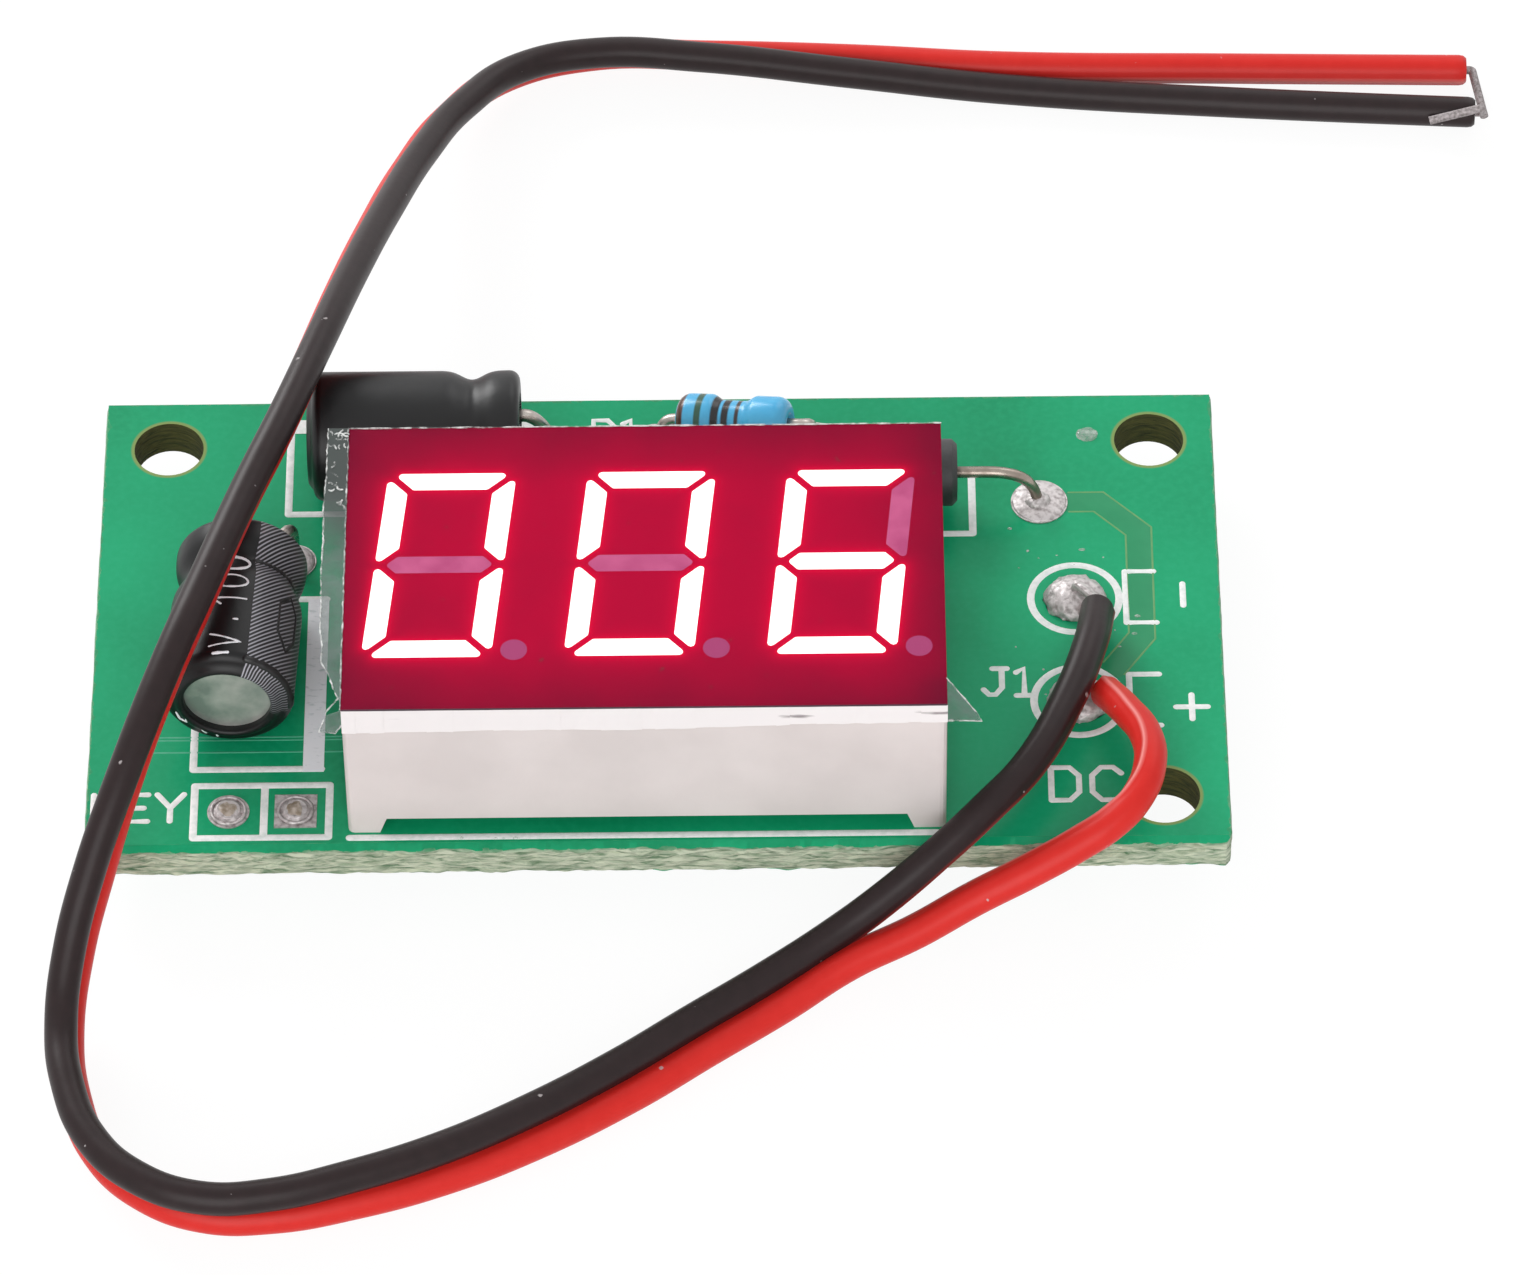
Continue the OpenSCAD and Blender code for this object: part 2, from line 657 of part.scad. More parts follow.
// Turn of the red wire about the black one: 0 lies at its left, 90 lies under it
red_turns = [
    36, 40, 42, 43, 55, 67, 77, 87, 95, 100, 102, 101, 97, 92, 87, 80,
    78, 77, 74, 73, 70, 65, 61, 58, 56, 54, 50, 43, 20, 0, 0, 0
];
// Distance between the bonded wires, and how far they part at the last two points
bond_gap = 0.02;
bond_pitch = wire_d + bond_gap;
parting = [0.65, 1.1];
// How much shorter the red wire is cut
red_trim = 0.4;
// The red wire's own route from its pad to the place where it joins the black one
red_start = [
    [17, -4.9, 4.6], [17.7, -6.4, 5.3], [18.4, -8, 5.7], [18.5, -9.5, 5.8], [18, -10.9, 5.6],
    [17.1, -11.8, 5.2], [15.8, -12.4, 4.6], [14, -13, 3.8], [11.9, -13.6, 2.9], [9.7, -14.5, 2.1]
];
wire_sides = 8;
first_bonded = len(black_route) - len(red_turns);
last_point = len(black_route) - 1;
function parted(k) = k < len(red_turns) - len(parting) ? 0 : parting[k - len(red_turns) + len(parting)];
function beside(i) =
    let (
        k = i - first_bonded,
        t = heading(black_route, i),
        left = unit([-t[1], t[0], 0]),
        down = cross(left, t)
    )
    black_route[i] + (bond_pitch + parted(k)) * (cos(red_turns[k]) * left + sin(red_turns[k]) * down);
black_end = black_route[last_point];
black_end_heading = heading(black_route, last_point);
red_end = beside(last_point) - red_trim * black_end_heading;
red_route = concat(red_start, [for (i = [first_bonded : last_point - 1]) beside(i)], [red_end]);
red_end_heading = heading(red_route, len(red_route) - 1);

module black_wire() { color("#2b2526") tube(black_route, wire_d, wire_sides, [0, 0, 1]); }
module red_wire() { color("#d8322f") tube(red_route, wire_d, wire_sides, [0, 0, 1]); }

// Tinned core at a pad: up through the solder, then over into the insulation
core_bend_r = 0.3;
module wire_core(pad, route) {
    foot = [pad[0], pad[1], pad_under_z - solder_h];
    knee = [pad[0], pad[1], pad_top_z + dome_h + core_d];
    into = unit(route[1] - route[0]);
    path = [foot, knee, route[0] - into * core_d, route[0] - into * fit];
    level = cross([0, 0, 1], route[0] - knee);
    color("#b4b2ac") tube(rounded_line(path, core_bend_r), core_d, lead_sides, unit(level));
}
module black_wire_core() { wire_core(minus_pad, black_route); }
module red_wire_core() { wire_core(plus_pad, red_route); }

// Tinned core at a bare end: the black one is folded back along its insulation,
// and the red one is bent down across the black one's end
tip_bend_r = 0.15;
tip_gap = 0.08;
tip_out = 0.25;
fold_l = 1.9;
fold_from = 59;
fold_to = 18;
red_tip_reach = [0.65, -2.2, -0.45];
module wire_tip(path) {
    color("#b4b2ac") tube(rounded_line(path, tip_bend_r), core_d, lead_sides, [0, 0, 1]);
}
function round_black_end(turn) =
    (wire_d / 2 + core_d / 2 + tip_gap) * [0, -cos(turn), sin(turn)];
module black_wire_tip() {
    out = black_end + tip_out * black_end_heading;
    back = black_end - fold_l * black_end_heading;
    wire_tip([
        black_end + fit * black_end_heading, out,
        out + round_black_end(fold_from), back + round_black_end(fold_to)
    ]);
}
module red_wire_tip() {
    wire_tip([
        red_end + fit * red_end_heading, red_end + tip_out * red_end_heading, red_end + red_tip_reach
    ]);
}

// Controller under the board: a moulded body with two rows of gull-wing legs
legs_per_side = 8;
leg_w = 0.4;
leg_t = 0.2;
leg_foot_l = 0.6;
chip_gap = 0.1;
chip_bevel = 0.25;
module controller_chip() {
    half = chip_w / 2;
    color("#1d1d20")
    translate([chip_at[0] - chip_l / 2, chip_at[1], board_z - chip_gap - chip_h])
        rotate([90, 0, 90])
            linear_extrude(chip_l)
                polygon([
                    [chip_bevel - half, 0], [half - chip_bevel, 0], [half, chip_h / 2],
                    [half - chip_bevel, chip_h], [chip_bevel - half, chip_h], [-half, chip_h / 2]
                ]);
}
module controller_legs() {
    mid_z = board_z - chip_gap - chip_h / 2;
    low_z = mid_z - leg_t / 2;
    high_z = mid_z + leg_t / 2;
    side_y = chip_w / 2;
    end_y = leg_span / 2;
    knee_y = end_y - leg_foot_l;
    leg = [
        [side_y, low_z], [knee_y, low_z], [knee_y + leg_t, board_z - leg_t], [end_y, board_z - leg_t],
        [end_y, board_z], [knee_y, board_z], [knee_y - leg_t, high_z], [side_y, high_z]
    ];
    color("#b9b7b1")
    for (side = [-1, 1], i = [0 : legs_per_side - 1])
        translate([chip_at[0] + (i - (legs_per_side - 1) / 2) * leg_pitch - leg_w / 2, chip_at[1], 0])
            rotate([90, 0, 90])
                linear_extrude(leg_w) polygon(mirrored(leg, side, 1));
}

// Voltage regulator under the board: a moulded body on a wide tab, with a narrow tab at each side
regulator_d = 2.5;
tab_t = 0.4;
tab_l = 1;
tab_pitch = 1.5;
wide_tab_w = 1.7;
narrow_tab_w = 0.5;
module regulator_body() {
    color("#1d1d20")
    translate([regulator_at[0] - regulator_w / 2, regulator_at[1] - regulator_d / 2, board_z - regulator_h])
        cube([regulator_w, regulator_d, regulator_h - tab_t]);
}
module regulator_tabs() {
    front = -regulator_d / 2 - tab_l;
    color("#b9b7b1")
    translate([regulator_at[0], regulator_at[1], board_z - tab_t]) {
        translate([-wide_tab_w / 2, front, 0]) cube([wide_tab_w, regulator_d + 2 * tab_l, tab_t]);
        for (side = [-1, 1])
            translate([side * tab_pitch - narrow_tab_w / 2, front, 0])
                cube([narrow_tab_w, tab_l + regulator_d / 2, tab_t]);
    }
}

// Chip resistors under the board, one for each segment line
chip_resistor_h = 0.5;
end_l = 0.4;
module chip_resistor_row() {
    z = board_z - chip_resistor_h;
    for (i = [0 : chip_resistor_count - 1])
        translate([chip_resistor_at[0] + i * chip_resistor_pitch, chip_resistor_at[1], z]) children();
}
module chip_resistor_bodies() {
    color("#2a2a30")
    chip_resistor_row()
        translate([-chip_resistor_w / 2, end_l - chip_resistor_l / 2, 0])
            cube([chip_resistor_w, chip_resistor_l - 2 * end_l, chip_resistor_h]);
}
module chip_resistor_ends() {
    color("#b9b7b1")
    chip_resistor_row()
        for (y = [-chip_resistor_l / 2, chip_resistor_l / 2 - end_l])
            translate([-chip_resistor_w / 2, y, 0]) cube([chip_resistor_w, end_l, chip_resistor_h]);
}

circuit_board();
plated_pads();
solder_joints();
display_housing();
display_face();
lit_segments();
unlit_segments();
led_chips();
display_substrate();
display_pins();
protective_film();
left_capacitor_can();
left_capacitor_sleeve();
left_capacitor_bung();
left_capacitor_leads();
rear_capacitor_can();
rear_capacitor_sleeve();
rear_capacitor_bung();
rear_capacitor_leads();
resistor_body();
resistor_leads();
diode_body();
diode_leads();
black_wire_core();
red_wire_core();
black_wire();
red_wire();
black_wire_tip();
red_wire_tip();
controller_chip();
controller_legs();
regulator_body();
regulator_tabs();
chip_resistor_bodies();
chip_resistor_ends();
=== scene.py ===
# Three-digit counter module: a bare board with a red light display and a bonded supply lead.
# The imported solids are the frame. Sizes are written in millimetres and used in metres.
import math
import random

import bmesh
import bpy
from mathutils import Matrix, Vector, geometry, noise
from mathutils.bvhtree import BVHTree


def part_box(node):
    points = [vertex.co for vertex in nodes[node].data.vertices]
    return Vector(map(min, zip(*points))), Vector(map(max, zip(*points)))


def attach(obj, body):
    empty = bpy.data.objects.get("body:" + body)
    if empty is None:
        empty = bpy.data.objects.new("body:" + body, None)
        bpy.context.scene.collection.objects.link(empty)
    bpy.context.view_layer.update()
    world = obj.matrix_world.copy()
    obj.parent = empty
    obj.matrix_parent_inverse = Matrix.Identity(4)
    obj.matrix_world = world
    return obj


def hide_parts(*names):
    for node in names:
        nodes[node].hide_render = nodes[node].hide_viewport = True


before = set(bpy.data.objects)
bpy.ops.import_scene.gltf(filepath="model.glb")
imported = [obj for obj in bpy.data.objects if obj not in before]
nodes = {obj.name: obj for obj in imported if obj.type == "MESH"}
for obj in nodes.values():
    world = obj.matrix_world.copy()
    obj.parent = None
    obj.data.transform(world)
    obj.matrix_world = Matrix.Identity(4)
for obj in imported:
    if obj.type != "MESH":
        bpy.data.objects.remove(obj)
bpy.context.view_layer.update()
scene = bpy.context.scene
MM = 0.001


# Circuit board
# A 1.6 mm glass-fibre laminate with green solder mask printed over both faces. It was cut from a larger
# panel, so its edges show torn fibre, and its three screw holes are drilled through bare laminate.
BOARD_UNDER, BOARD_TOP = 2.0, 3.6
BOARD_T = BOARD_TOP - BOARD_UNDER
BOARD_MIDDLE = (BOARD_TOP + BOARD_UNDER) / 2
BOARD_HALF = (21.55, 11.15)
FRONT_TEAR = 0.4
SCREW_HOLES = ((-19.1, 8.8), (19.1, 8.8), (19.1, -9.2))
SCREW_HOLE_R = 1.35
BARE_RIM = (0.08, 0.16)
MASK_FROM_CORE = 0.71
CHIP_DEPTH = 0.2
STRAND_SIZE = (0.9, 0.9, 0.1)
SHADER = "Principled BSDF"


def linear(code):
    """Turns an sRGB hex colour into linear red, green, blue and alpha."""
    shares = [int(code[i:i + 2], 16) / 255 for i in (1, 3, 5)]
    return (*[s / 12.92 if s <= 0.04045 else ((s + 0.055) / 1.055) ** 2.4 for s in shares], 1)


def plug(node, inputs):
    """Gives a node's live sockets, by name or in order, a value, a hex colour or another node's output."""
    sockets = [socket for socket in node.inputs if socket.enabled]
    if isinstance(inputs, dict):
        sockets = [next(socket for socket in sockets if socket.name == name) for name in inputs]
        inputs = inputs.values()
    for socket, given in zip(sockets, inputs):
        if isinstance(given, bpy.types.Node):
            given = next(output for output in given.outputs if output.enabled)
        if isinstance(given, bpy.types.NodeSocket):
            node.id_data.links.new(given, socket)
        else:
            socket.default_value = linear(given) if isinstance(given, str) else given


def add(tree, kind, inputs=(), **settings):
    """Adds a node with its settings and what its sockets are given."""
    node = tree.nodes.new("ShaderNode" + kind)
    for name, setting in settings.items():
        setattr(node, name, setting)
    plug(node, inputs)
    return node


def start_material(name, inputs):
    """Starts a material, and gives it with its node tree, its shader and the place on the object."""
    material = bpy.data.materials.new(name)
    material.use_nodes = True
    tree = material.node_tree
    plug(tree.nodes[SHADER], inputs)
    return material, tree, tree.nodes[SHADER], add(tree, "TexCoord").outputs["Object"]


def mottled(name, inputs, grain, detail, tones=(), spread=(0, 1), swing=None, relief=()):
    """Starts a material with blotches of this size in millimetres. They mix two tones, swing other sockets
    from one value to another, and stand up as a relief of this strength and height."""
    material, tree, shader, at = start_material(name, inputs)
    sizes = grain if isinstance(grain, tuple) else (grain, grain, grain)
    scaled = add(tree, "Mapping", {"Vector": at, "Scale": [1 / (size * MM) for size in sizes]})
    blotch = add(tree, "TexNoise", {"Vector": scaled, "Scale": 1, "Detail": detail})
    if tones:
        share = add(tree, "MapRange", (blotch, *spread))
        plug(shader, {"Base Color": add(tree, "Mix", (share, *tones), data_type="RGBA")})
    for socket, ends in (swing or {}).items():
        plug(shader, {socket: add(tree, "MapRange", (blotch, *ends))})
    if relief:
        strength, high = relief
        raised = add(tree, "Bump", {"Strength": strength, "Distance": high * MM, "Height": blotch})
        plug(shader, {"Normal": raised})
    return material


def overlay(material, tone, share):
    """Lays another tone over a material's colour, where the share says."""
    colour = material.node_tree.nodes[SHADER].inputs["Base Color"]
    under = colour.links[0].from_socket
    coat = add(material.node_tree, "Mix", (share, under, tone), data_type="RGBA")
    plug(colour.node, {"Base Color": coat})


def dress(material, *names):
    """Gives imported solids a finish."""
    for name in names:
        solid = nodes[name]
        if not solid.material_slots:
            solid.data.materials.append(material)
        for slot in solid.material_slots:
            slot.material = material


# Solder mask over glass-fibre laminate: a glossy green skin on the faces, and cream and green layers of cut
# fibre on the edges, where the mask has flaked off in small chips
solder_mask = mottled(
    "solder_mask_on_glass_fibre", {"IOR": 1.5, "Specular IOR Level": 0.25}, 9, 3, ("#0A9664", "#12A873"),
    (0.35, 0.65),
)
tree = solder_mask.node_tree
place = add(tree, "TexCoord")
at = place.outputs["Object"]
xyz = add(tree, "SeparateXYZ", (at,)).outputs
speck = add(tree, "TexNoise", {"Vector": at, "Scale": 1 / (0.3 * MM), "Detail": 2})
overlay(solder_mask, "#2CB886", add(tree, "MapRange", (speck, 0.4, 0.8, 0, 0.25)))
# The mask stops short of the screw holes
plan = add(tree, "CombineXYZ", (xyz["X"], xyz["Y"]))
nearest = 1
for x, y in SCREW_HOLES:
    away = add(tree, "VectorMath", (plan, (x * MM, y * MM, 0)), operation="DISTANCE")
    nearest = add(tree, "Math", (nearest, away), operation="MINIMUM")
rim_ends = [(SCREW_HOLE_R + wide) * MM for wide in BARE_RIM]
overlay(solder_mask, "#8E9A55", add(tree, "MapRange", (nearest, *rim_ends, 0.85, 0)))
# Chips in the mask, measured from the torn outline, show the fibre
side_x = add(tree, "Math", (xyz["X"],), operation="ABSOLUTE")
lapped = add(tree, "Math", (xyz["Y"], FRONT_TEAR / 2 * MM), operation="ADD")
side_y = add(tree, "Math", (lapped,), operation="ABSOLUTE")
in_x = add(tree, "Math", (BOARD_HALF[0] * MM, side_x), operation="SUBTRACT")
in_y = add(tree, "Math", ((BOARD_HALF[1] + FRONT_TEAR / 2) * MM, side_y), operation="SUBTRACT")
from_edge = add(tree, "Math", (in_x, in_y), operation="MINIMUM")
chip = add(tree, "TexNoise", {"Vector": at, "Scale": 1 / (0.45 * MM), "Detail": 4})
chip_depth = add(tree, "MapRange", (chip, 0.45, 0.75, 0, CHIP_DEPTH * MM))
chipped = add(tree, "Math", (from_edge, chip_depth), operation="LESS_THAN")
strand = add(tree, "Mapping", {"Vector": at, "Scale": [1 / (size * MM) for size in STRAND_SIZE]})
layers = add(
    tree, "TexNoise", {"Vector": strand, "Scale": 1, "Detail": 5, "Roughness": 0.6, "Distortion": 0.6},
)
layer_share = add(tree, "MapRange", (layers, 0.3, 0.58))
fibre = add(tree, "Mix", (layer_share, "#487350", "#D2DAC2"), data_type="RGBA")
fade = add(tree, "MapRange", (xyz["Z"], (BOARD_TOP - 0.18) * MM, (BOARD_TOP - 0.02) * MM, 0, 1.6))
fade_share = add(tree, "Math", (fade, chip), operation="MULTIPLY", use_clamp=True)
faded = add(tree, "Mix", (fade_share, fibre, "#2E9A68"), data_type="RGBA")
overlay(solder_mask, faded, chipped)
# The edges and the walls of the holes are bare
bore = add(tree, "Mix", (layer_share, "#1E2A18", "#5A5B30"), data_type="RGBA")
inside = add(tree, "Math", (from_edge, 0.5 * MM), operation="GREATER_THAN")
wall = add(tree, "Mix", (inside, faded, bore), data_type="RGBA")
facing = add(tree, "SeparateXYZ", (place.outputs["Normal"],)).outputs
upright = add(tree, "Math", (facing["Z"],), operation="ABSOLUTE")
level = add(tree, "Math", (upright, 0.5), operation="GREATER_THAN")
from_core = add(tree, "Math", (xyz["Z"], BOARD_MIDDLE * MM), operation="SUBTRACT")
up_or_down = add(tree, "Math", (from_core,), operation="ABSOLUTE")
outer = add(tree, "Math", (up_or_down, MASK_FROM_CORE * MM), operation="GREATER_THAN")
flat = add(tree, "Math", (level, outer), operation="MULTIPLY")
overlay(solder_mask, wall, add(tree, "Math", (1, flat), operation="SUBTRACT"))
height = add(tree, "Mix", (flat, layers, speck))
depth = add(tree, "MapRange", (flat, 0, 1, 1, 0.03))
plug(tree.nodes[SHADER], {
    "Roughness": add(tree, "MapRange", (flat, 0, 1, 0.85, 0.3)),
    "Normal": add(tree, "Bump", {"Strength": depth, "Distance": 0.12 * MM, "Height": height}),
})
dress(solder_mask, "circuit_board")


def finished(bm, name, sharp=40):
    """Turns a bmesh into a mesh with smooth faces and sharp edges past an angle in degrees."""
    mesh = bpy.data.meshes.new(name)
    bm.to_mesh(mesh)
    bm.free()
    for polygon in mesh.polygons:
        polygon.use_smooth = True
    mesh.set_sharp_from_angle(angle=math.radians(sharp))
    return mesh


def piece(mesh, material, slot, *replaced):
    """Puts a finished mesh in the scene as a piece of the module, in place of the named solids."""
    obj = bpy.data.objects.new(mesh.name, mesh)
    scene.collection.objects.link(obj)
    mesh.materials.append(material)
    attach(obj, "root")
    if replaced:
        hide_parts(*replaced)


# Torn fibre stands out of the cut edges in layers, most of all along the front
EDGE_CELL = 0.09
EDGE_ROWS = 22
EDGE_TUCK = 0.03
END_FADE = 0.15
SIDE_TEAR = 0.05
LEAST_TEAR = 0.008
FIBRE_GRAIN = Vector((1.4, 1.4, 0.13))
for name, x, y, turn, tear in (
    ("front_torn_edge", 0, -BOARD_HALF[1], 0, FRONT_TEAR),
    ("right_torn_edge", BOARD_HALF[0], 0, 90, SIDE_TEAR),
    ("rear_torn_edge", 0, BOARD_HALF[1], 180, SIDE_TEAR),
    ("left_torn_edge", -BOARD_HALF[0], 0, 270, SIDE_TEAR),
):
    length = 2 * BOARD_HALF[turn // 90 % 2]
    middle = Vector((x, y, BOARD_MIDDLE))
    stand = (
        Matrix.Translation(middle * MM) @ Matrix.Rotation(math.radians(turn), 4, "Z")
        @ Matrix.Rotation(math.radians(90), 4, "X")
    )
    outward = (stand.to_3x3() @ Vector((0, 0, 1))).normalized()
    bm = bmesh.new()
    bmesh.ops.create_grid(
        bm, x_segments=round(length / EDGE_CELL), y_segments=EDGE_ROWS, size=0.5,
        matrix=stand @ Matrix.Diagonal((length * MM, BOARD_T * MM, 1, 1)),
    )
    for vert in bm.verts:
        at = vert.co / MM
        border = (abs(at.z - BOARD_MIDDLE) / (BOARD_T / 2)) ** 40
        grain = Vector(a / b for a, b in zip(at, FIBRE_GRAIN))
        slope = 0.55 + 0.45 * (at.z - BOARD_UNDER) / BOARD_T
        out = tear * slope * (0.9 + 0.55 * noise.noise(grain) + 0.3 * noise.noise(3 * grain))
        end = min(1, (length / 2 - abs((at - middle).cross(outward).z)) / END_FADE)
        vert.co += outward * (max(LEAST_TEAR, out) * (1 - border) * end - EDGE_TUCK * border) * MM
    bmesh.ops.recalc_face_normals(bm, faces=bm.faces)
    if sum(face.normal.dot(outward) for face in bm.faces) < 0:
        bmesh.ops.reverse_faces(bm, faces=bm.faces)
    piece(finished(bm, name, 50), solder_mask, "board")


# Copper tracks
# Etched copper under the solder mask, on both faces. Where a broad track runs, the mask looks a little
# greyer, and it thins to a pale olive line along the track's edges.
TRACK_T = 0.01
TRACK_EDGE_W = 0.08
SUPPLY_TRACK = ((15.9, 5.6), (17.05, 5.6), (18.55, 4.07), (18.52, -1.25), (17.4, -2.9))
SUPPLY_TRACK_EDGES = (
    ((15.9, 6.1), (17.25, 6.1), (19.05, 4.27), (19.02, -1.42), (17.78, -3.2)),
    ((15.9, 5.1), (16.85, 5.1), (18.05, 3.87), (18.02, -1.1), (17, -2.58)),
)
SIGNAL_TRACKS = [((-20.4, y), (-11.8, y)) for y in (-5.9, -6.05, -6.65)]
UNDER_SUPPLY = (
    ((16, 0.58), (13.6, 0.58), (12.9, 1.2), (11, 1.2)),
    ((4.59, 5.6), (7.6, 5.6), (8.6, 4.6), (8.6, -1.4), (9.5, -2.4)),
    ((12.5, -2.4), (12.5, -4.6), (11.5, -5.6), (5.2, -5.6), (4.05, -6.4)),
    ((-16.55, 2.9), (-16.55, 6.8), (-14.95, 8.4), (-3.9, 8.4)),
)
PINS_X = [-6.75 + 2.54 * i for i in range(6)]
LEGS_X = [-4.85 + 1.27 * i for i in range(5)]
CHIPS_X = [-7.5 + 2 * i for i in range(6)]
UNDER_SIGNALS = (
    *[((pin, -8.7), (pin, -8), (leg, -7.3), (leg, -6.4)) for pin, leg in zip(PINS_X, LEGS_X)],
    *[((chip, 3.2), (chip, 2.8), (pin, 2), (pin, 1.4)) for chip, pin in zip(CHIPS_X, PINS_X)],
    ((-9.5, 3.2), (-9.5, 0.5), (-8.3, -0.7), (-4.85, -0.7)), ((-11.5, 3.2), (-11.5, -8.2), (-13.66, -9.6)),
)


def rounded_ends(stroke, width):
    """Adds points past both ends of a line, with the share of its width that gives each end a round cap."""
    line = [Vector(point) for point in stroke]
    first = (line[0] - line[1]).normalized() * width / 2
    last = (line[-1] - line[-2]).normalized() * width / 2
    caps = [(math.cos(math.radians(a)), math.sin(math.radians(a))) for a in (8, 35, 62)]
    opening = [(line[0] + first * reach, share) for reach, share in caps]
    closing = [(line[-1] + last * reach, share) for reach, share in reversed(caps)]
    return opening + [(point, 1) for point in line] + closing


def tubes(name, lines, width, uneven=0):
    """Makes round strands with round ends along lines of points, and gives their mesh."""
    curve = bpy.data.curves.new(name, "CURVE")
    curve.dimensions = "3D"
    curve.bevel_depth = width / 2 * MM
    curve.bevel_resolution = 2
    curve.use_fill_caps = True
    for line in lines:
        closed = len(line) > 2 and line[0] == line[-1]
        points = [(Vector(p), 1) for p in line[:-1]] if closed else rounded_ends(line, width)
        spline = curve.splines.new("POLY")
        spline.use_cyclic_u = closed
        spline.points.add(len(points) - 1)
        for knot, (point, share) in zip(spline.points, points):
            knot.co = (*(point * MM), 1)
            knot.radius = share * (1 + uneven * noise.noise(point * 5))
    holder = bpy.data.objects.new(name, curve)
    scene.collection.objects.link(holder)
    rough = bpy.data.meshes.new_from_object(holder)
    bpy.data.objects.remove(holder)
    bm = bmesh.new()
    bm.from_mesh(rough)
    bpy.data.meshes.remove(rough)
    bmesh.ops.remove_doubles(bm, verts=bm.verts, dist=1e-7)
    bmesh.ops.recalc_face_normals(bm, faces=bm.faces)
    return finished(bm, name, 60)


def drawn(name, strokes, width, thickness, z):
    """Draws lines on a face of the board, as strands that are pressed flat."""
    mesh = tubes(name, [[(x, y, 0) for x, y in stroke] for stroke in strokes], width)
    mesh.transform(Matrix.Translation((0, 0, z * MM)) @ Matrix.Diagonal((1, 1, 2 * thickness / width, 1)))
    mesh.set_sharp_from_angle(angle=math.radians(30))
    return mesh


# Solder mask over copper: greyer on a broad track, pale olive where it is thin over an edge of copper, and a
# shade paler than the board over a thin signal track
MASK = {"Roughness": 0.35, "IOR": 1.5, "Specular IOR Level": 0.35}
masked_copper = mottled("solder_mask_on_copper", MASK | {"Roughness": 0.32}, 0.8, 2, ("#1C8C5C", "#2B9866"))
thin_mask = mottled("thin_mask_on_copper_edge", MASK, 0.5, 2, ("#4C9862", "#7EAC6C"))
pale_mask = mottled("mask_on_signal_track", MASK, 0.5, 2, ("#38AC82", "#64C09C"))
for name, strokes, width, thickness, z, mask in (
    ("supply_tracks", [SUPPLY_TRACK], 1.0, TRACK_T, BOARD_TOP, masked_copper),
    ("under_supply_tracks", UNDER_SUPPLY, 0.8, TRACK_T, BOARD_UNDER, masked_copper),
    ("under_signal_tracks", UNDER_SIGNALS, 0.3, TRACK_T, BOARD_UNDER, masked_copper),
    ("signal_tracks", SIGNAL_TRACKS, TRACK_EDGE_W, TRACK_T, BOARD_TOP, pale_mask),
    ("supply_track_edges", SUPPLY_TRACK_EDGES, TRACK_EDGE_W, TRACK_T * 1.3, BOARD_TOP, thin_mask),
):
    piece(drawn(name, strokes, width, thickness, z), mask, "board")


# Printed marks
# White epoxy ink, screen printed on the mask: outlines of the parts, rings round the supply pads, and short
# marks for the key, the supply and its poles.
INK_T = 0.02
OUTLINE_W = 0.29
MARK_W = 0.24
RING_R = 1.7
# Blotches of this length look even along their axis
EVEN = 1000


def arc(x, y, radius_x, radius_y, first, last, steps):
    """Gives points along an arc, from the first to the last angle in degrees."""
    turns = [math.radians(first + (last - first) * i / steps) for i in range(steps + 1)]
    return [(x + radius_x * math.cos(a), y + radius_y * math.sin(a)) for a in turns]


def box_lines(left, right, front, rear):
    """Gives the four sides of a printed box."""
    return [
        [(left, front), (right, front)], [(right, front), (right, rear)],
        [(right, rear), (left, rear)], [(left, rear), (left, front)],
    ]


# Screen printed ink: off-white and matt, with a slightly uneven coat. One bar took less ink, so the green
# shows through it as a cold grey with small gaps along its length.
INK = {"Roughness": 0.6, "IOR": 1.45}
white_ink = mottled("white_epoxy_ink", INK, 0.25, 3, ("#E6EEEA", "#FCFDFC"), (0.3, 0.6))
thin_ink = mottled("thin_white_epoxy_ink", INK, (0.5, 0.16, EVEN), 3, ("#C4CFD2", "#F8FAFF"), (0.26, 0.42))
ring = arc(0, 0, RING_R, RING_R, 0, 360, 48)
ring[-1] = ring[0]
minus_ring = [(x + 16, y + 0.65) for x, y in ring]
plus_ring = [(x + 16, y - 4.5) for x, y in ring]
outlines = [
    minus_ring, plus_ring,
    *box_lines(7.2, 12.15, 4.03, 7.07),
    *box_lines(-17.5, -12.4, -10.85, -8.3), [(-14.85, -10.85), (-14.85, -8.3)],
    [(-17.6, 1.0), (-17.6, -7.5)], [(-17.6, -7.5), (-12.75, -7.5)], [(-17.6, 1.0), (-12.75, 1.0)],
    [(-14.35, 9.6), (-14.35, 5.35)], [(-14.35, 5.35), (-12.2, 5.35)],
    [(-11.6, -10.9), (10.5, -10.9)],
]
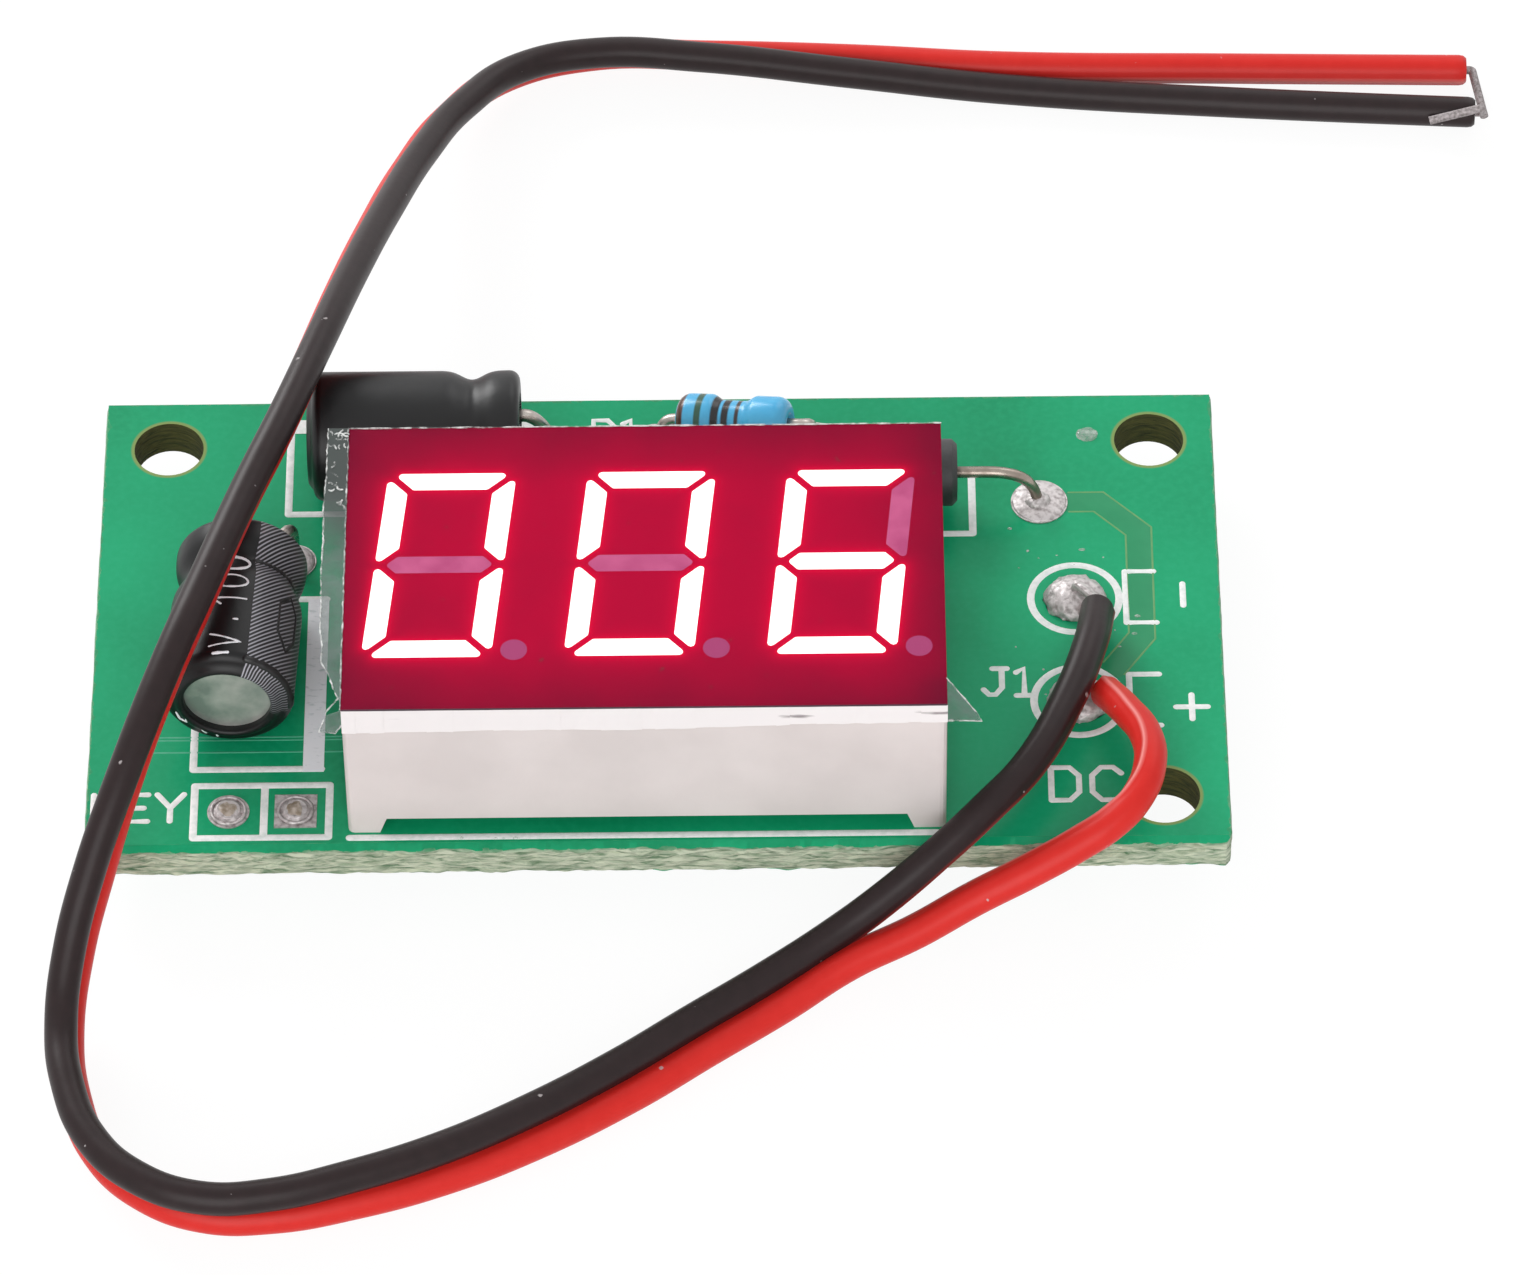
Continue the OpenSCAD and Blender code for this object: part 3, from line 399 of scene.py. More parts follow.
marks = [
    # Brackets at the supply pads, with a minus and a plus sign
    [(17.95, 2.0), (17.95, -0.6)], [(17.95, 2.0), (19.05, 2.0)], [(17.95, -0.6), (19.1, -0.6)],
    [(17.95, -3.2), (17.95, -5.75)], [(17.95, -3.2), (19.1, -3.2)], [(17.95, -5.75), (19.1, -5.75)],
    [(20.15, 0.25), (20.15, 1.35)],
    [(20.3, -5.45), (20.3, -4.25)], [(19.7, -4.85), (20.9, -4.85)],
    # J1
    [(12.75, -2.85), (13.3, -2.85)],
    [(13.1, -2.85), (13.1, -3.8), (12.85, -4.15), (12.6, -4.15), (12.4, -3.9)],
    [(13.65, -3.05), (13.95, -2.85), (13.95, -4.2)], [(13.65, -4.2), (14.25, -4.2)],
    # DC
    [(14.85, -7.8), (14.85, -9.4)],
    [(14.85, -7.8), (15.55, -7.8), (15.9, -8.2), (15.9, -9.0), (15.55, -9.4), (14.85, -9.4)],
    [(17.5, -8.1), (17.2, -7.8), (16.75, -7.8), (16.4, -8.2), (16.4, -9.0), (16.75, -9.4), (17.3, -9.4)],
    # KEY
    [(-21.3, -8.7), (-21.3, -10.0)], [(-20.4, -8.7), (-21.2, -9.4)], [(-20.95, -9.25), (-20.4, -10.0)],
    [(-19.25, -8.7), (-19.95, -8.7), (-19.95, -10.0), (-19.25, -10.0)], [(-19.9, -9.35), (-19.4, -9.35)],
    [(-18.9, -8.7), (-18.4, -9.35), (-18.4, -10.0)], [(-17.9, -8.7), (-18.4, -9.35)],
    # R1
    [(-2.55, 8.85), (-2.55, 10.1), (-2, 10.1), (-1.75, 9.8), (-2, 9.5), (-2.55, 9.5)],
    [(-2.1, 9.5), (-1.75, 8.85)], [(-1.4, 9.9), (-1.1, 10.1), (-1.1, 8.85)],
]
piece(drawn("printed_outlines", outlines, OUTLINE_W, INK_T, BOARD_TOP), white_ink, "housing")
piece(drawn("printed_marks", marks, MARK_W, INK_T, BOARD_TOP), white_ink, "housing")
for name, left, right, front, rear, ink in (
    ("printed_left_bar", -13.45, -12.65, -7.65, 1.0, thin_ink),
    ("printed_rear_bar", -14.5, -4.6, 9.55, 10.25, white_ink),
):
    bm = bmesh.new()
    size = Matrix.Diagonal(((right - left) * MM, (rear - front) * MM, INK_T * MM, 1))
    middle = Vector(((left + right) / 2, (front + rear) / 2, BOARD_TOP + INK_T / 2)) * MM
    bmesh.ops.create_cube(bm, size=1, matrix=Matrix.Translation(middle) @ size)
    piece(finished(bm, name), ink, "housing")


# Plated pads and solder
# Copper rings tinned in a solder bath, and solder that wetted each lead and cooled into a cone or a dome.
# Tinned copper and solder: bright grey metal with a frosted, faintly pitted skin and dull flux in the pits.
SUPPLY_PADS = ((16, 0.58), (16, -4.5))
SUPPLY_LUMP = (1.2, 1.1, 0.68)
DIODE_PAD = (14.7, 5.55)
DIODE_LUMP = (0.55, 0.5, 0.42)
KEY_PADS = ((-16.2, -9.6), (-13.66, -9.6))
KEY_LIPS_R = (0.64, 0.42)
KEY_LIP_W = 0.13
KEY_PLUG = (0.4, 0.4, 0.1)
KEY_PLUG_RISE = 0.14
PAD_T = 0.02
solder = mottled(
    "tin_solder", {"Metallic": 0.75}, 0.2, 8, ("#9A9392", "#C6C0C0"), (0.32, 0.55),
    {"Roughness": (0.3, 0.7, 0.65, 0.45)}, (0.35, 0.1),
)
dress(solder, "plated_pads", "solder_joints", "black_wire_core", "red_wire_core")


def domes(name, drops, uneven):
    """Makes low domes with uneven skins, each from its place, half width, half depth and height."""
    bm = bmesh.new()
    for x, y, z, wide, deep, high in drops:
        steps = 48 if wide > 0.2 else 12
        drop = bmesh.ops.create_uvsphere(bm, u_segments=steps, v_segments=steps // 2, radius=1)["verts"]
        for vert in drop:
            grain = vert.co * max(wide, deep) * 4 + Vector((x, y, z))
            vert.co *= 1 + uneven * (noise.noise(grain) + 0.5 * noise.noise(2.7 * grain))
            vert.co.z = max(0, vert.co.z)
        size = Matrix.Diagonal((wide * MM, deep * MM, high * MM, 1))
        bmesh.ops.transform(bm, matrix=Matrix.Translation(Vector((x, y, z)) * MM) @ size, verts=drop)
    bmesh.ops.recalc_face_normals(bm, faces=bm.faces)
    return finished(bm, name, 70)


# Hand soldered supply pads: a broad lump over each core, and a bath soldered lip round the key holes
lumps = [(*pad, BOARD_TOP + PAD_T, *SUPPLY_LUMP) for pad in SUPPLY_PADS]
lumps.append((*DIODE_PAD, BOARD_TOP + PAD_T, *DIODE_LUMP))
piece(domes("solder_lumps", lumps, 0.08), solder, "solder")
lips = [
    [(a, b, BOARD_TOP + 0.2 - 0.15 * radius) for a, b in arc(x, y, radius, radius, 0, 360, 40)]
    for x, y in KEY_PADS for radius in KEY_LIPS_R
]
piece(tubes("key_solder_lips", lips, KEY_LIP_W, 0.3), solder, "solder")
# Burnt flux: brown resin that stayed in the key holes' solder
burnt_flux = mottled(
    "burnt_flux_resin", {"Roughness": 0.35, "IOR": 1.5}, 0.25, 4, ("#8A7C6A", "#C2B7AC"), (0.35, 0.65),
)
flux_plugs = [(*pad, BOARD_TOP + KEY_PLUG_RISE, *KEY_PLUG) for pad in KEY_PADS]
piece(domes("key_flux_plugs", flux_plugs, 0.2), burnt_flux, "solder")
# Clear flux: drops of resin that spat out of the joints and were not washed off
clear_flux = mottled(
    "clear_flux_resin", {"Base Color": "#E8F2EA", "Roughness": 0.08, "IOR": 1.52}, 0.3, 3,
    swing={"Alpha": (0.4, 0.7, 0.16, 0.6)},
)
LONE_DROP_AT = (16.7, 9.1)
LONE_DROP = (0.42, 0.36, 0.16)
SPLASHES = ((16, -1.9, 2.4, 16), (15, 4, 2.2, 10), (-8, -10.95, 3, 5))
spat = random.Random(11)
flux_drops = [(*LONE_DROP_AT, BOARD_TOP, *LONE_DROP)]
for middle_x, middle_y, spread, count in SPLASHES:
    for drop in range(count):
        size = spat.uniform(0.03, 0.075)
        x = middle_x + spat.uniform(-spread, spread)
        y = max(-11, middle_y + spat.uniform(-spread, spread) * (0.05 if middle_x < 0 else 1))
        flux_drops.append((x, y, BOARD_TOP, size * spat.uniform(1, 2), size, size * 0.6))
piece(domes("flux_drops", flux_drops, 0.15), clear_flux, "solder")


# Display housing
# A white-grey moulding with a foot at each corner and a well for each segment, which mirrors the light
# forward. Moulded polycarbonate filled with white: satin, with faint flow clouds and a fine grain.
moulding = mottled(
    "white_filled_polycarbonate", {"Roughness": 0.45, "IOR": 1.58}, 4, 4, ("#DAD1CF", "#E4DBD9"),
    (0.35, 0.65),
)
tree = moulding.node_tree
at = add(tree, "TexCoord").outputs["Object"]
grit = add(tree, "TexNoise", {"Vector": at, "Scale": 1 / (0.15 * MM), "Detail": 2})
grain = add(tree, "Bump", {"Strength": 0.12, "Distance": 0.05 * MM, "Height": grit})
plug(tree.nodes[SHADER], {"Normal": grain})
dress(moulding, "display_housing")


# Display segments
# Clear resin cast into the wells. Lit ones shine nearly white, and dark ones show a mauve pink.
# Lit resin: evenly white, brighter than the light in the room.
lit_resin = mottled(
    "lit_cast_epoxy", {"Base Color": "#FFF4F2", "Roughness": 0.35, "Emission Color": "#FFF6F4"}, 0.9, 3,
    swing={"Emission Strength": (0.3, 0.7, 0.84, 0.96)},
)
dress(lit_resin, "lit_segments")
# Dark resin: mauve where it only passes on light from the lit segments beside it, darker in the three points
POINTS_REAR = -6.5
dark_resin = mottled(
    "dark_cast_epoxy", {"Roughness": 0.4, "IOR": 1.5, "Specular IOR Level": 0.15}, 1.2, 4,
    ("#BE4E80", "#D06090"), (0.35, 0.65),
)
tree = dark_resin.node_tree
along = add(tree, "SeparateXYZ", (add(tree, "TexCoord").outputs["Object"],)).outputs
overlay(dark_resin, "#AE4476", add(tree, "Math", (along["Y"], POINTS_REAR * MM), operation="LESS_THAN"))
dress(dark_resin, "unlit_segments")


# Display face
# A crimson print on the front of the moulding, round the windows of the segments. The light that spills
# through it is painted into its colour as a painted glow: brightest in the middle and darkest at the
# corners, with a fine bright line round lit segments that also glows faintly.
FACE_SINK = 0.004
FACE_CELL = 0.14
GLOW_REACH = 0.22
SPILL_REACH = 4.5
SPILL_LEAST = 0.42
face_low, face_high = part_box("display_face")
face_size = face_high - face_low
lit_solid = nodes["lit_segments"].data
lit_tree = BVHTree.FromPolygons(
    [v.co for v in lit_solid.vertices], [p.vertices for p in lit_solid.polygons],
)
bm = bmesh.new()
cells_x, cells_y = [round(side / MM / FACE_CELL) for side in face_size.xy]
face_spread = Matrix.Diagonal((face_size.x, face_size.y, 1, 1))
bmesh.ops.create_grid(
    bm, x_segments=cells_x, y_segments=cells_y, size=0.5,
    matrix=Matrix.Translation((face_low + face_high) / 2) @ face_spread,
)
for vert in bm.verts:
    vert.co.z = face_high.z - FACE_SINK * MM
sides = bmesh.ops.extrude_edge_only(bm, edges=[e for e in bm.edges if e.is_boundary])
for vert in (v for v in sides["geom"] if isinstance(v, bmesh.types.BMVert)):
    vert.co.z = face_low.z
bmesh.ops.recalc_face_normals(bm, faces=bm.faces)
face_mesh = finished(bm, "display_face_print")
halo = face_mesh.attributes.new("halo", "FLOAT", "POINT")
spill = face_mesh.attributes.new("spill", "FLOAT", "POINT")
for vert, narrow, wide in zip(face_mesh.vertices, halo.data, spill.data):
    gap = lit_tree.find_nearest(vert.co)[3] / MM
    narrow.value = math.exp(-gap / GLOW_REACH)
    wide.value = 1
    for axis in (0, 1):
        inset = min(vert.co[axis] - face_low[axis], face_high[axis] - vert.co[axis]) / MM / SPILL_REACH
        wide.value *= SPILL_LEAST + (1 - SPILL_LEAST) * math.sin(min(1, inset) * math.pi / 2)
# Crimson epoxy ink: smooth and satin, with painted glow and shade: dull wine red in the corners, crimson
# where the spilled light is painted strongest, and a faint glow round lit segments
face_print, tree, shader, at = start_material("crimson_epoxy_ink_painted_glow", {
    "Roughness": 0.45, "IOR": 1.5, "Specular IOR Level": 0.04, "Emission Color": "#F0003C",
})
wide = add(tree, "Attribute", attribute_name="spill").outputs["Fac"]
narrow = add(tree, "Attribute", attribute_name="halo").outputs["Fac"]
veil = add(tree, "TexNoise", {"Vector": at, "Scale": 1 / (2.5 * MM), "Detail": 5})
veil_push = add(tree, "MapRange", (veil, 0.3, 0.7, -0.09, 0.09))
spill_uneven = add(tree, "Math", (wide, veil_push), operation="ADD", use_clamp=True)
# Painted glow: darker towards the corners, brighter where the segments' light spills, and round lit segments
wine = add(tree, "Mix", (spill_uneven, "#600A2A", "#BC0036"), data_type="RGBA")
plug(shader, {
    "Base Color": add(tree, "Mix", (narrow, wine, "#DC0038"), data_type="RGBA"),
    "Emission Strength": add(tree, "MapRange", (narrow, 0, 1, 0, 0.1)),
})
piece(face_mesh, face_print, "face", "display_face")


# Protective film
# A clear cling film that the maker puts over the face. It runs past the left side as a torn strip, folds
# over the front edge in a white crease, and stands out at the two front corners as ears.
FILM_T = 0.03
FACE_TOP = 10.75
FILM_Z = FACE_TOP + 0.01
FACE_LEFT, FACE_RIGHT, FACE_FRONT, FACE_REAR = -11.65, 10.85, -10.65, 3.35
FOLD_Y = FACE_FRONT - FILM_T
FOLD_END = 9.9
FOLD_LINE = (
    (FACE_LEFT, 9.55), (-9, 9.6), (-5, 9.68), (-1, 9.62), (3, 9.72), (6, 9.86), (FACE_RIGHT, FOLD_END),
)
FOLD_CURL = 0.1
STRIP_EDGE = (
    (-12.42, 3.35), (-12.46, 2.1), (-12.44, 0.8), (-12.52, -0.6), (-12.49, -2.1), (-12.53, -3.6),
    (-12.49, -5.2), (-12.5, -6.6), (-12.4, -7.5), (-12.42, -8.3), (-12.14, -8.9), (-11.98, -9.5),
    (-11.74, -10.1),
)
RIGHT_EAR = (
    (FACE_RIGHT, -9.4, FACE_TOP), (FACE_RIGHT, -10.7, FACE_TOP), (FACE_RIGHT, -10.72, FOLD_END),
    (12.12, -10.74, FOLD_END - 0.03), (11.98, -10.6, 10.1),
)
LEFT_EAR = (
    (FACE_LEFT, -10.68, FACE_TOP), (-12.2, -10.7, 10.5), (-12.48, -10.72, 9.6), (-11.9, -10.74, 9.5),
    (FACE_LEFT, -10.7, FOLD_END),
)
GAP_LINE_W = 0.07
TEAR_STEP = 0.12
SHRED_W = 0.065
SHRED_COUNT = 20
SHRED_SEED = 5


def sheet_mesh(name, *outlines):
    """Makes thin sheets from flat outlines."""
    bm = bmesh.new()
    for outline in outlines:
        bm.faces.new([bm.verts.new(Vector(point) * MM) for point in outline])
    bmesh.ops.recalc_face_normals(bm, faces=bm.faces)
    bmesh.ops.solidify(bm, geom=bm.faces[:], thickness=FILM_T * MM)
    bmesh.ops.recalc_face_normals(bm, faces=bm.faces)
    return finished(bm, name)


# Torn edges stray in the same way on each run
noise.seed_set(SHRED_SEED)


def ragged(line, step, stray):
    """Breaks a line into short lengths and lets it stray, as a torn edge does."""
    points = [Vector(point) for point in line]
    out = []
    for first, last in zip(points, points[1:]):
        count = max(1, round((last - first).length / step))
        out += [first.lerp(last, i / count) for i in range(count)]
    out.append(points[-1])
    return [point + stray * noise.noise_vector(point * 6) for point in out]


# Clear polyethylene: nearly invisible on the face, with a thin sheen
cling_film = mottled(
    "clear_polyethylene", {"Base Color": "#5A4048", "Roughness": 0.2, "IOR": 1.5}, 0.45, 2,
    swing={"Alpha": (0.72, 0.78, 0.02, 0.3)},
)
clear_sheet = [
    (FACE_LEFT, FACE_FRONT, FILM_Z), (FACE_RIGHT, FACE_FRONT, FILM_Z), (FACE_RIGHT, FACE_REAR, FILM_Z),
    (FACE_LEFT, FACE_REAR, FILM_Z),
]
piece(sheet_mesh("face_film", clear_sheet), cling_film, "film", "protective_film")
# Stretched polyethylene: a milky veil where it was pulled and torn, with painted shade, dark and solid at
# the rear
veil_film, tree, shader, at = start_material("stretched_polyethylene", {"Roughness": 0.3, "IOR": 1.5})
milk = add(tree, "TexNoise", {"Vector": at, "Scale": 1 / (0.7 * MM), "Detail": 4})
milk_share = add(tree, "MapRange", (milk, 0.35, 0.7, 0.22, 0.48))
along = add(tree, "SeparateXYZ", (at,)).outputs
# Painted shade: the veil darkens and turns less clear towards the rear
painted_rear_shade = add(tree, "MapRange", (along["Y"], -4 * MM, 0.8 * MM, 0, 0.8))
plug(shader, {
    "Base Color": add(tree, "Mix", (painted_rear_shade, "#7F8C88", "#262C2A"), data_type="RGBA"),
    "Alpha": add(tree, "Math", (milk_share, painted_rear_shade), operation="MAXIMUM"),
})
strip_outline = ((FACE_LEFT, FACE_REAR), *STRIP_EDGE, (FACE_LEFT, -10.4))
strip = [(x, y, FILM_Z) for x, y in strip_outline]
piece(sheet_mesh("torn_film", strip, RIGHT_EAR, LEFT_EAR), veil_film, "film")
# Creased polyethylene: white where the sheet is folded over on itself
crease_film = mottled(
    "creased_polyethylene", {"Roughness": 0.4, "IOR": 1.5}, (3, EVEN, 0.5), 3, ("#B9B0B2", "#FBF6F6"),
    (0.28, 0.36), {"Alpha": (0.28, 0.36, 0.55, 0.92)},
)
fold_end_line = ragged([(x, FOLD_Y - FOLD_CURL, z) for x, z in FOLD_LINE], 0.5, 0.03)
fold_strips = [
    (first, last, (last[0], FOLD_Y, FACE_TOP - 0.02), (first[0], FOLD_Y, FACE_TOP - 0.02))
    for first, last in zip(fold_end_line, fold_end_line[1:])
]
piece(sheet_mesh("film_fold", *fold_strips), crease_film, "film")
# The film bridges the face's front edge, and a thin dark line under it is painted shade in the gap
gap_shade = mottled("shaded_gap_under_film", {"Roughness": 0.6, "IOR": 1.5}, 0.8, 2, ("#1C0A18", "#4A1A34"))
gap_line = [[(FACE_LEFT + 0.05, FOLD_Y, FACE_TOP), (FACE_RIGHT - 0.05, FOLD_Y, FACE_TOP)]]
piece(tubes("painted_shade_under_film", gap_line, GAP_LINE_W), gap_shade, "face")
# Torn edges and curled shreds of the film, white and in places nearly solid
shred_film = mottled(
    "torn_polyethylene", {"Base Color": "#EEF0EE", "Roughness": 0.45, "IOR": 1.5}, 0.4, 5,
    swing={"Alpha": (0.4, 0.62, 0.05, 0.9)},
)
seeded = random.Random(SHRED_SEED)
shreds = []
for count in range(SHRED_COUNT):
    at = Vector((-12.05 + seeded.uniform(-0.3, 0.3), 3.1 - 4.6 * seeded.random() ** 1.6, FILM_Z + 0.04))
    turn = seeded.uniform(0, math.tau)
    bend = seeded.uniform(-1.2, 1.2)
    reach = seeded.uniform(0.15, 0.38)
    steps = [(turn + bend * i / 4, reach * (i / 4 - 0.5)) for i in range(5)]
    shreds.append([at + far * Vector((math.cos(a), math.sin(a), 0.1)) for a, far in steps])
torn_lines = [
    ragged([(x, y, FILM_Z + 0.02) for x, y in STRIP_EDGE], TEAR_STEP, 0.04),
    ragged([(FACE_LEFT - 0.02, y, FILM_Z) for y in (FACE_REAR, FACE_FRONT)], TEAR_STEP, 0.025),
    ragged(LEFT_EAR[1:], TEAR_STEP, 0.03),
    ragged([(*STRIP_EDGE[-1], FILM_Z), (-12.2, -10.6, 10.6), LEFT_EAR[1]], TEAR_STEP, 0.04),
    ragged([(x, FACE_REAR, FILM_Z) for x in (FACE_LEFT, FACE_RIGHT)], 0.3, 0.012),
    ragged([RIGHT_EAR[0], *reversed(RIGHT_EAR[2:])], 0.15, 0.015),
]
piece(tubes("film_shreds", torn_lines + shreds, SHRED_W, 0.7), shred_film, "film")


# Display inside
# A small laminate board carries the light chips and closes the moulding from below, and round tinned pins go
# from it through the main board.
# Light chips: amber crystal under a drop of clear resin.
dress(
    mottled("amber_light_chip", {"Roughness": 0.3, "IOR": 1.5}, 0.2, 2, ("#C79A28", "#E4C45A")), "led_chips",
)
# Bare laminate: dull green glass fibre with a fine weave
laminate, tree, shader, at = start_material("green_glass_fibre_laminate", {"Roughness": 0.6, "IOR": 1.5})
weave = add(tree, "TexChecker", (at, "#2F6B4A", "#3A7753", 1 / (0.4 * MM)))
plug(shader, {"Base Color": weave})
dress(laminate, "display_substrate")


def wire_finish(name, *tones):
    """Starts the finish of drawn copper wire with a tin coat, faintly streaked."""
    return mottled(name, {"Metallic": 1}, 0.4, 4, tones, swing={"Roughness": (0.3, 0.7, 0.4, 0.22)})


tinned_wire = wire_finish("tinned_copper_wire", "#8C817A", "#CFC9C3")
dress(
    tinned_wire, "display_pins", "left_capacitor_leads", "controller_legs", "regulator_tabs",
    "chip_resistor_ends",
)


# Capacitors
# Two electrolytic capacitors laid flat on the board: drawn aluminium cans with a beaded groove by the rubber
# bung, in a shrunk sleeve whose rim rolls over the can's end and leaves a bare disc.
CAP_R = 2.5
SLEEVE_T = 0.15
LIP_R = 1.65
ROLLED_RIM = ((0.32, 0.1), (0.2, 0.19), (0.08, 0.2), (0.01, 0.14), (0, 0.05))
END_R = 0.4
GROOVE_AT = 1.85
GROOVE_W = 1.2
GROOVE_DEPTH = 0.35
WAVE_W = 0.57
CAP_Z = BOARD_TOP + CAP_R
LEFT_BUNG = (-15.85, 1, CAP_Z)
LEFT_TURN = 87
LEFT_L = 7.2
REAR_BUNG = (-5.3, 7.15, CAP_Z)
REAR_TURN = 0
REAR_L = 8
STRIPE_HALF = math.radians(42)
HATCH_PITCH = 0.2
HATCH_TWIST = 2.4
FAN_LINES = 96
FAN_DEPTH = 0.12
PRINT_W, MINUS_W, SHADE_LINE_W = 0.11, 0.2, 0.32


def cap_outline(length, inset, groove):
    """Gives a can's half outline from the bung to the far end, with a groove of these radii and heights."""
    r = CAP_R - inset
    near = [math.radians(a) for a in range(-90, 1, 15)]
    far = [math.radians(a) for a in range(0, 91, 15)]
    return [
        *[(r - END_R + END_R * math.cos(a), inset + END_R + END_R * math.sin(a)) for a in near],
        *groove,
        *[(r - END_R + END_R * math.cos(a), length - inset - END_R + END_R * math.sin(a)) for a in far],
    ]


def spun(outline, lie, name):
    """Spins a half outline of radius and height into a closed body that lies like this."""
    bm = bmesh.new()
    verts = [bm.verts.new((r * MM, 0, h * MM)) for r, h in outline]
    edges = [bm.edges.new(pair) for pair in zip(verts, verts[1:])]
    bmesh.ops.spin(
        bm, geom=verts + edges, axis=(0, 0, 1), cent=(0, 0, 0), angle=math.tau, steps=96, use_merge=True,
    )
    bmesh.ops.remove_doubles(bm, verts=bm.verts, dist=1e-7)
    bmesh.ops.recalc_face_normals(bm, faces=bm.faces)
    bmesh.ops.transform(bm, matrix=lie, verts=bm.verts)
    return finished(bm, name, 50)


def laid(place, turn):
    """Gives the place of a body that was built upright and lies flat, with its foot at this place."""
    return (
        Matrix.Translation(Vector(place) * MM) @ Matrix.Rotation(math.radians(turn), 4, "Z")
        @ Matrix.Rotation(math.radians(-90), 4, "Y")
    )


def own_axes(tree, lie):
    """Gives the place on the object, measured along the axes of a body that lies like this."""
    at = add(tree, "TexCoord").outputs["Object"]
    turned = add(tree, "Mapping", (at, lie.to_translation(), lie.to_euler()), vector_type="TEXTURE")
    return add(tree, "SeparateXYZ", (turned,)).outputs


def sleeve_loop(length):
    """Gives the half outline of a shrunk sleeve. Outside, it bridges the can's groove in a soft wave."""
    rolled = [(i / 20, GROOVE_AT + GROOVE_W * (i / 20 - 0.5)) for i in range(21)]
    bridged = [GROOVE_AT + GROOVE_W * (i / 15 - 1) for i in range(31)]
    outer = cap_outline(length, 0, [
        (CAP_R - GROOVE_DEPTH * math.exp(-((h - GROOVE_AT) / WAVE_W) ** 2), h) for h in bridged
    ])
    inner = cap_outline(length, SLEEVE_T, [
        (CAP_R - SLEEVE_T - GROOVE_DEPTH * (1 - math.cos(s * math.tau)) / 2, h) for s, h in rolled
    ])
    rim = [(LIP_R + r, length + h) for r, h in ROLLED_RIM]
    end = [(LIP_R, length - SLEEVE_T), *reversed(inner), (LIP_R, SLEEVE_T), (LIP_R, 0)]
    return [(LIP_R, 0), *outer, *rim, *end]


# Black PVC shrink sleeve: glossy, drawn tight with shallow waves, with a grey stripe of fine lines for the
# minus lead. The lines run round the can in a steep twist, and fan out over its end.
for cap, length, bung, turn, stripe_middle, gloss in (
    ("left_capacitor", LEFT_L, LEFT_BUNG, LEFT_TURN, -62, 0.3),
    ("rear_capacitor", REAR_L, REAR_BUNG, REAR_TURN, 100, 0.35),
):
    sleeve = mottled(
        "black_pvc_sleeve_" + cap, {"Roughness": 0.4, "IOR": 1.53, "Specular IOR Level": gloss}, 1.6, 3,
        relief=(0.35, 0.1),
    )
    tree = sleeve.node_tree
    local = own_axes(tree, laid(bung, turn))
    angle = add(tree, "Math", (local["Y"], local["X"]), operation="ARCTAN2")
    stripe = add(tree, "Math", (angle, math.radians(stripe_middle), STRIPE_HALF), operation="COMPARE")
    twist = add(tree, "Math", (angle, HATCH_TWIST * MM), operation="MULTIPLY")
    wound = add(tree, "Math", (local["Z"], twist), operation="SUBTRACT")
    hatch_wave = add(tree, "Math", (wound, math.tau / (HATCH_PITCH * MM)), operation="MULTIPLY")
    fan_wave = add(tree, "Math", (angle, FAN_LINES), operation="MULTIPLY")
    on_lip = add(tree, "Math", (local["Z"], (length - FAN_DEPTH) * MM), operation="GREATER_THAN")
    wave = add(tree, "Mix", (on_lip, hatch_wave, fan_wave))
    hatch = add(tree, "Math", (wave,), operation="SINE")
    hatch_share = add(tree, "MapRange", (hatch, 0, 0.8, 0.03, 0.85))
    stripe_ends = [math.radians(stripe_middle) + half for half in (-STRIPE_HALF, STRIPE_HALF)]
    # Across the stripe the lines fade from full grey at one edge to a quarter of it at the other
    stripe_fade = add(tree, "MapRange", (angle, *stripe_ends, 0.25, 1))
    coated = add(tree, "Math", (stripe_fade, hatch_share), operation="MULTIPLY")
    grey = add(tree, "Math", (stripe, coated), operation="MULTIPLY")
    sleeve_colour = add(tree, "Mix", (grey, "#0B0B0D", "#C6C6D0"), data_type="RGBA")
    plug(tree.nodes[SHADER], {"Base Color": sleeve_colour})
    skin = spun(sleeve_loop(length), laid(bung, turn), cap + "_sleeve_skin")
    piece(skin, sleeve, "capacitor_sleeve", cap + "_sleeve")

# Print on the left sleeve: the value, which reads from the can's end towards the bung, short marks round the
# rim, and a minus sign in the stripe. Dark lines cross the stripe as painted shade, in the groove and at the
# fold over the can's end. Points are angles from the top, distances from the bung and radii.
# Black ink, also used for the painted shade lines: as dark as the bare sleeve, and a little uneven.
black_ink_and_shade = mottled("black_sleeve_ink_and_painted_shade", {"Roughness": 0.4, "IOR": 1.5}, 0.2, 2, ("#0C0C0E", "#1C1C1E"))
zero = arc(0, 0, 15, 0.3, 0, 360, 24)
zero[-1] = zero[0]
SLEEVE_PRINT = (
    [(-14, 4.2), (16, 4.2), (8, 4.5)],
    [(a + 1, h + 3.35) for a, h in zero], [(a + 1, h + 2.45) for a, h in zero],
    [(14, 6.6), (-13, 6.35), (14, 6.0)], [(-8, 5.25), (-5, 5.25)], [(-3, 6.9), (10, 6.95)],
    [(112, 7.18, 2.15), (122, 7.18, 2.2), (128, 7.24, 2.05), (122, 7.33, 1.92)],
    [(148, 7.33, 1.92), (155, 7.17, 2.15)], [(166, 7.27, 2.0), (168, 7.08, 2.3)],
    [(174, 7.0, 2.38), (184, 7.0, 2.38)],
)
MINUS_SIGN = ([(-47, 3.7), (-47, 5.1), (-59, 5.8), (-71, 5.0), (-71, 3.7), (-59, 3.1), (-47, 3.7)],)
groove_r = CAP_R - GROOVE_DEPTH
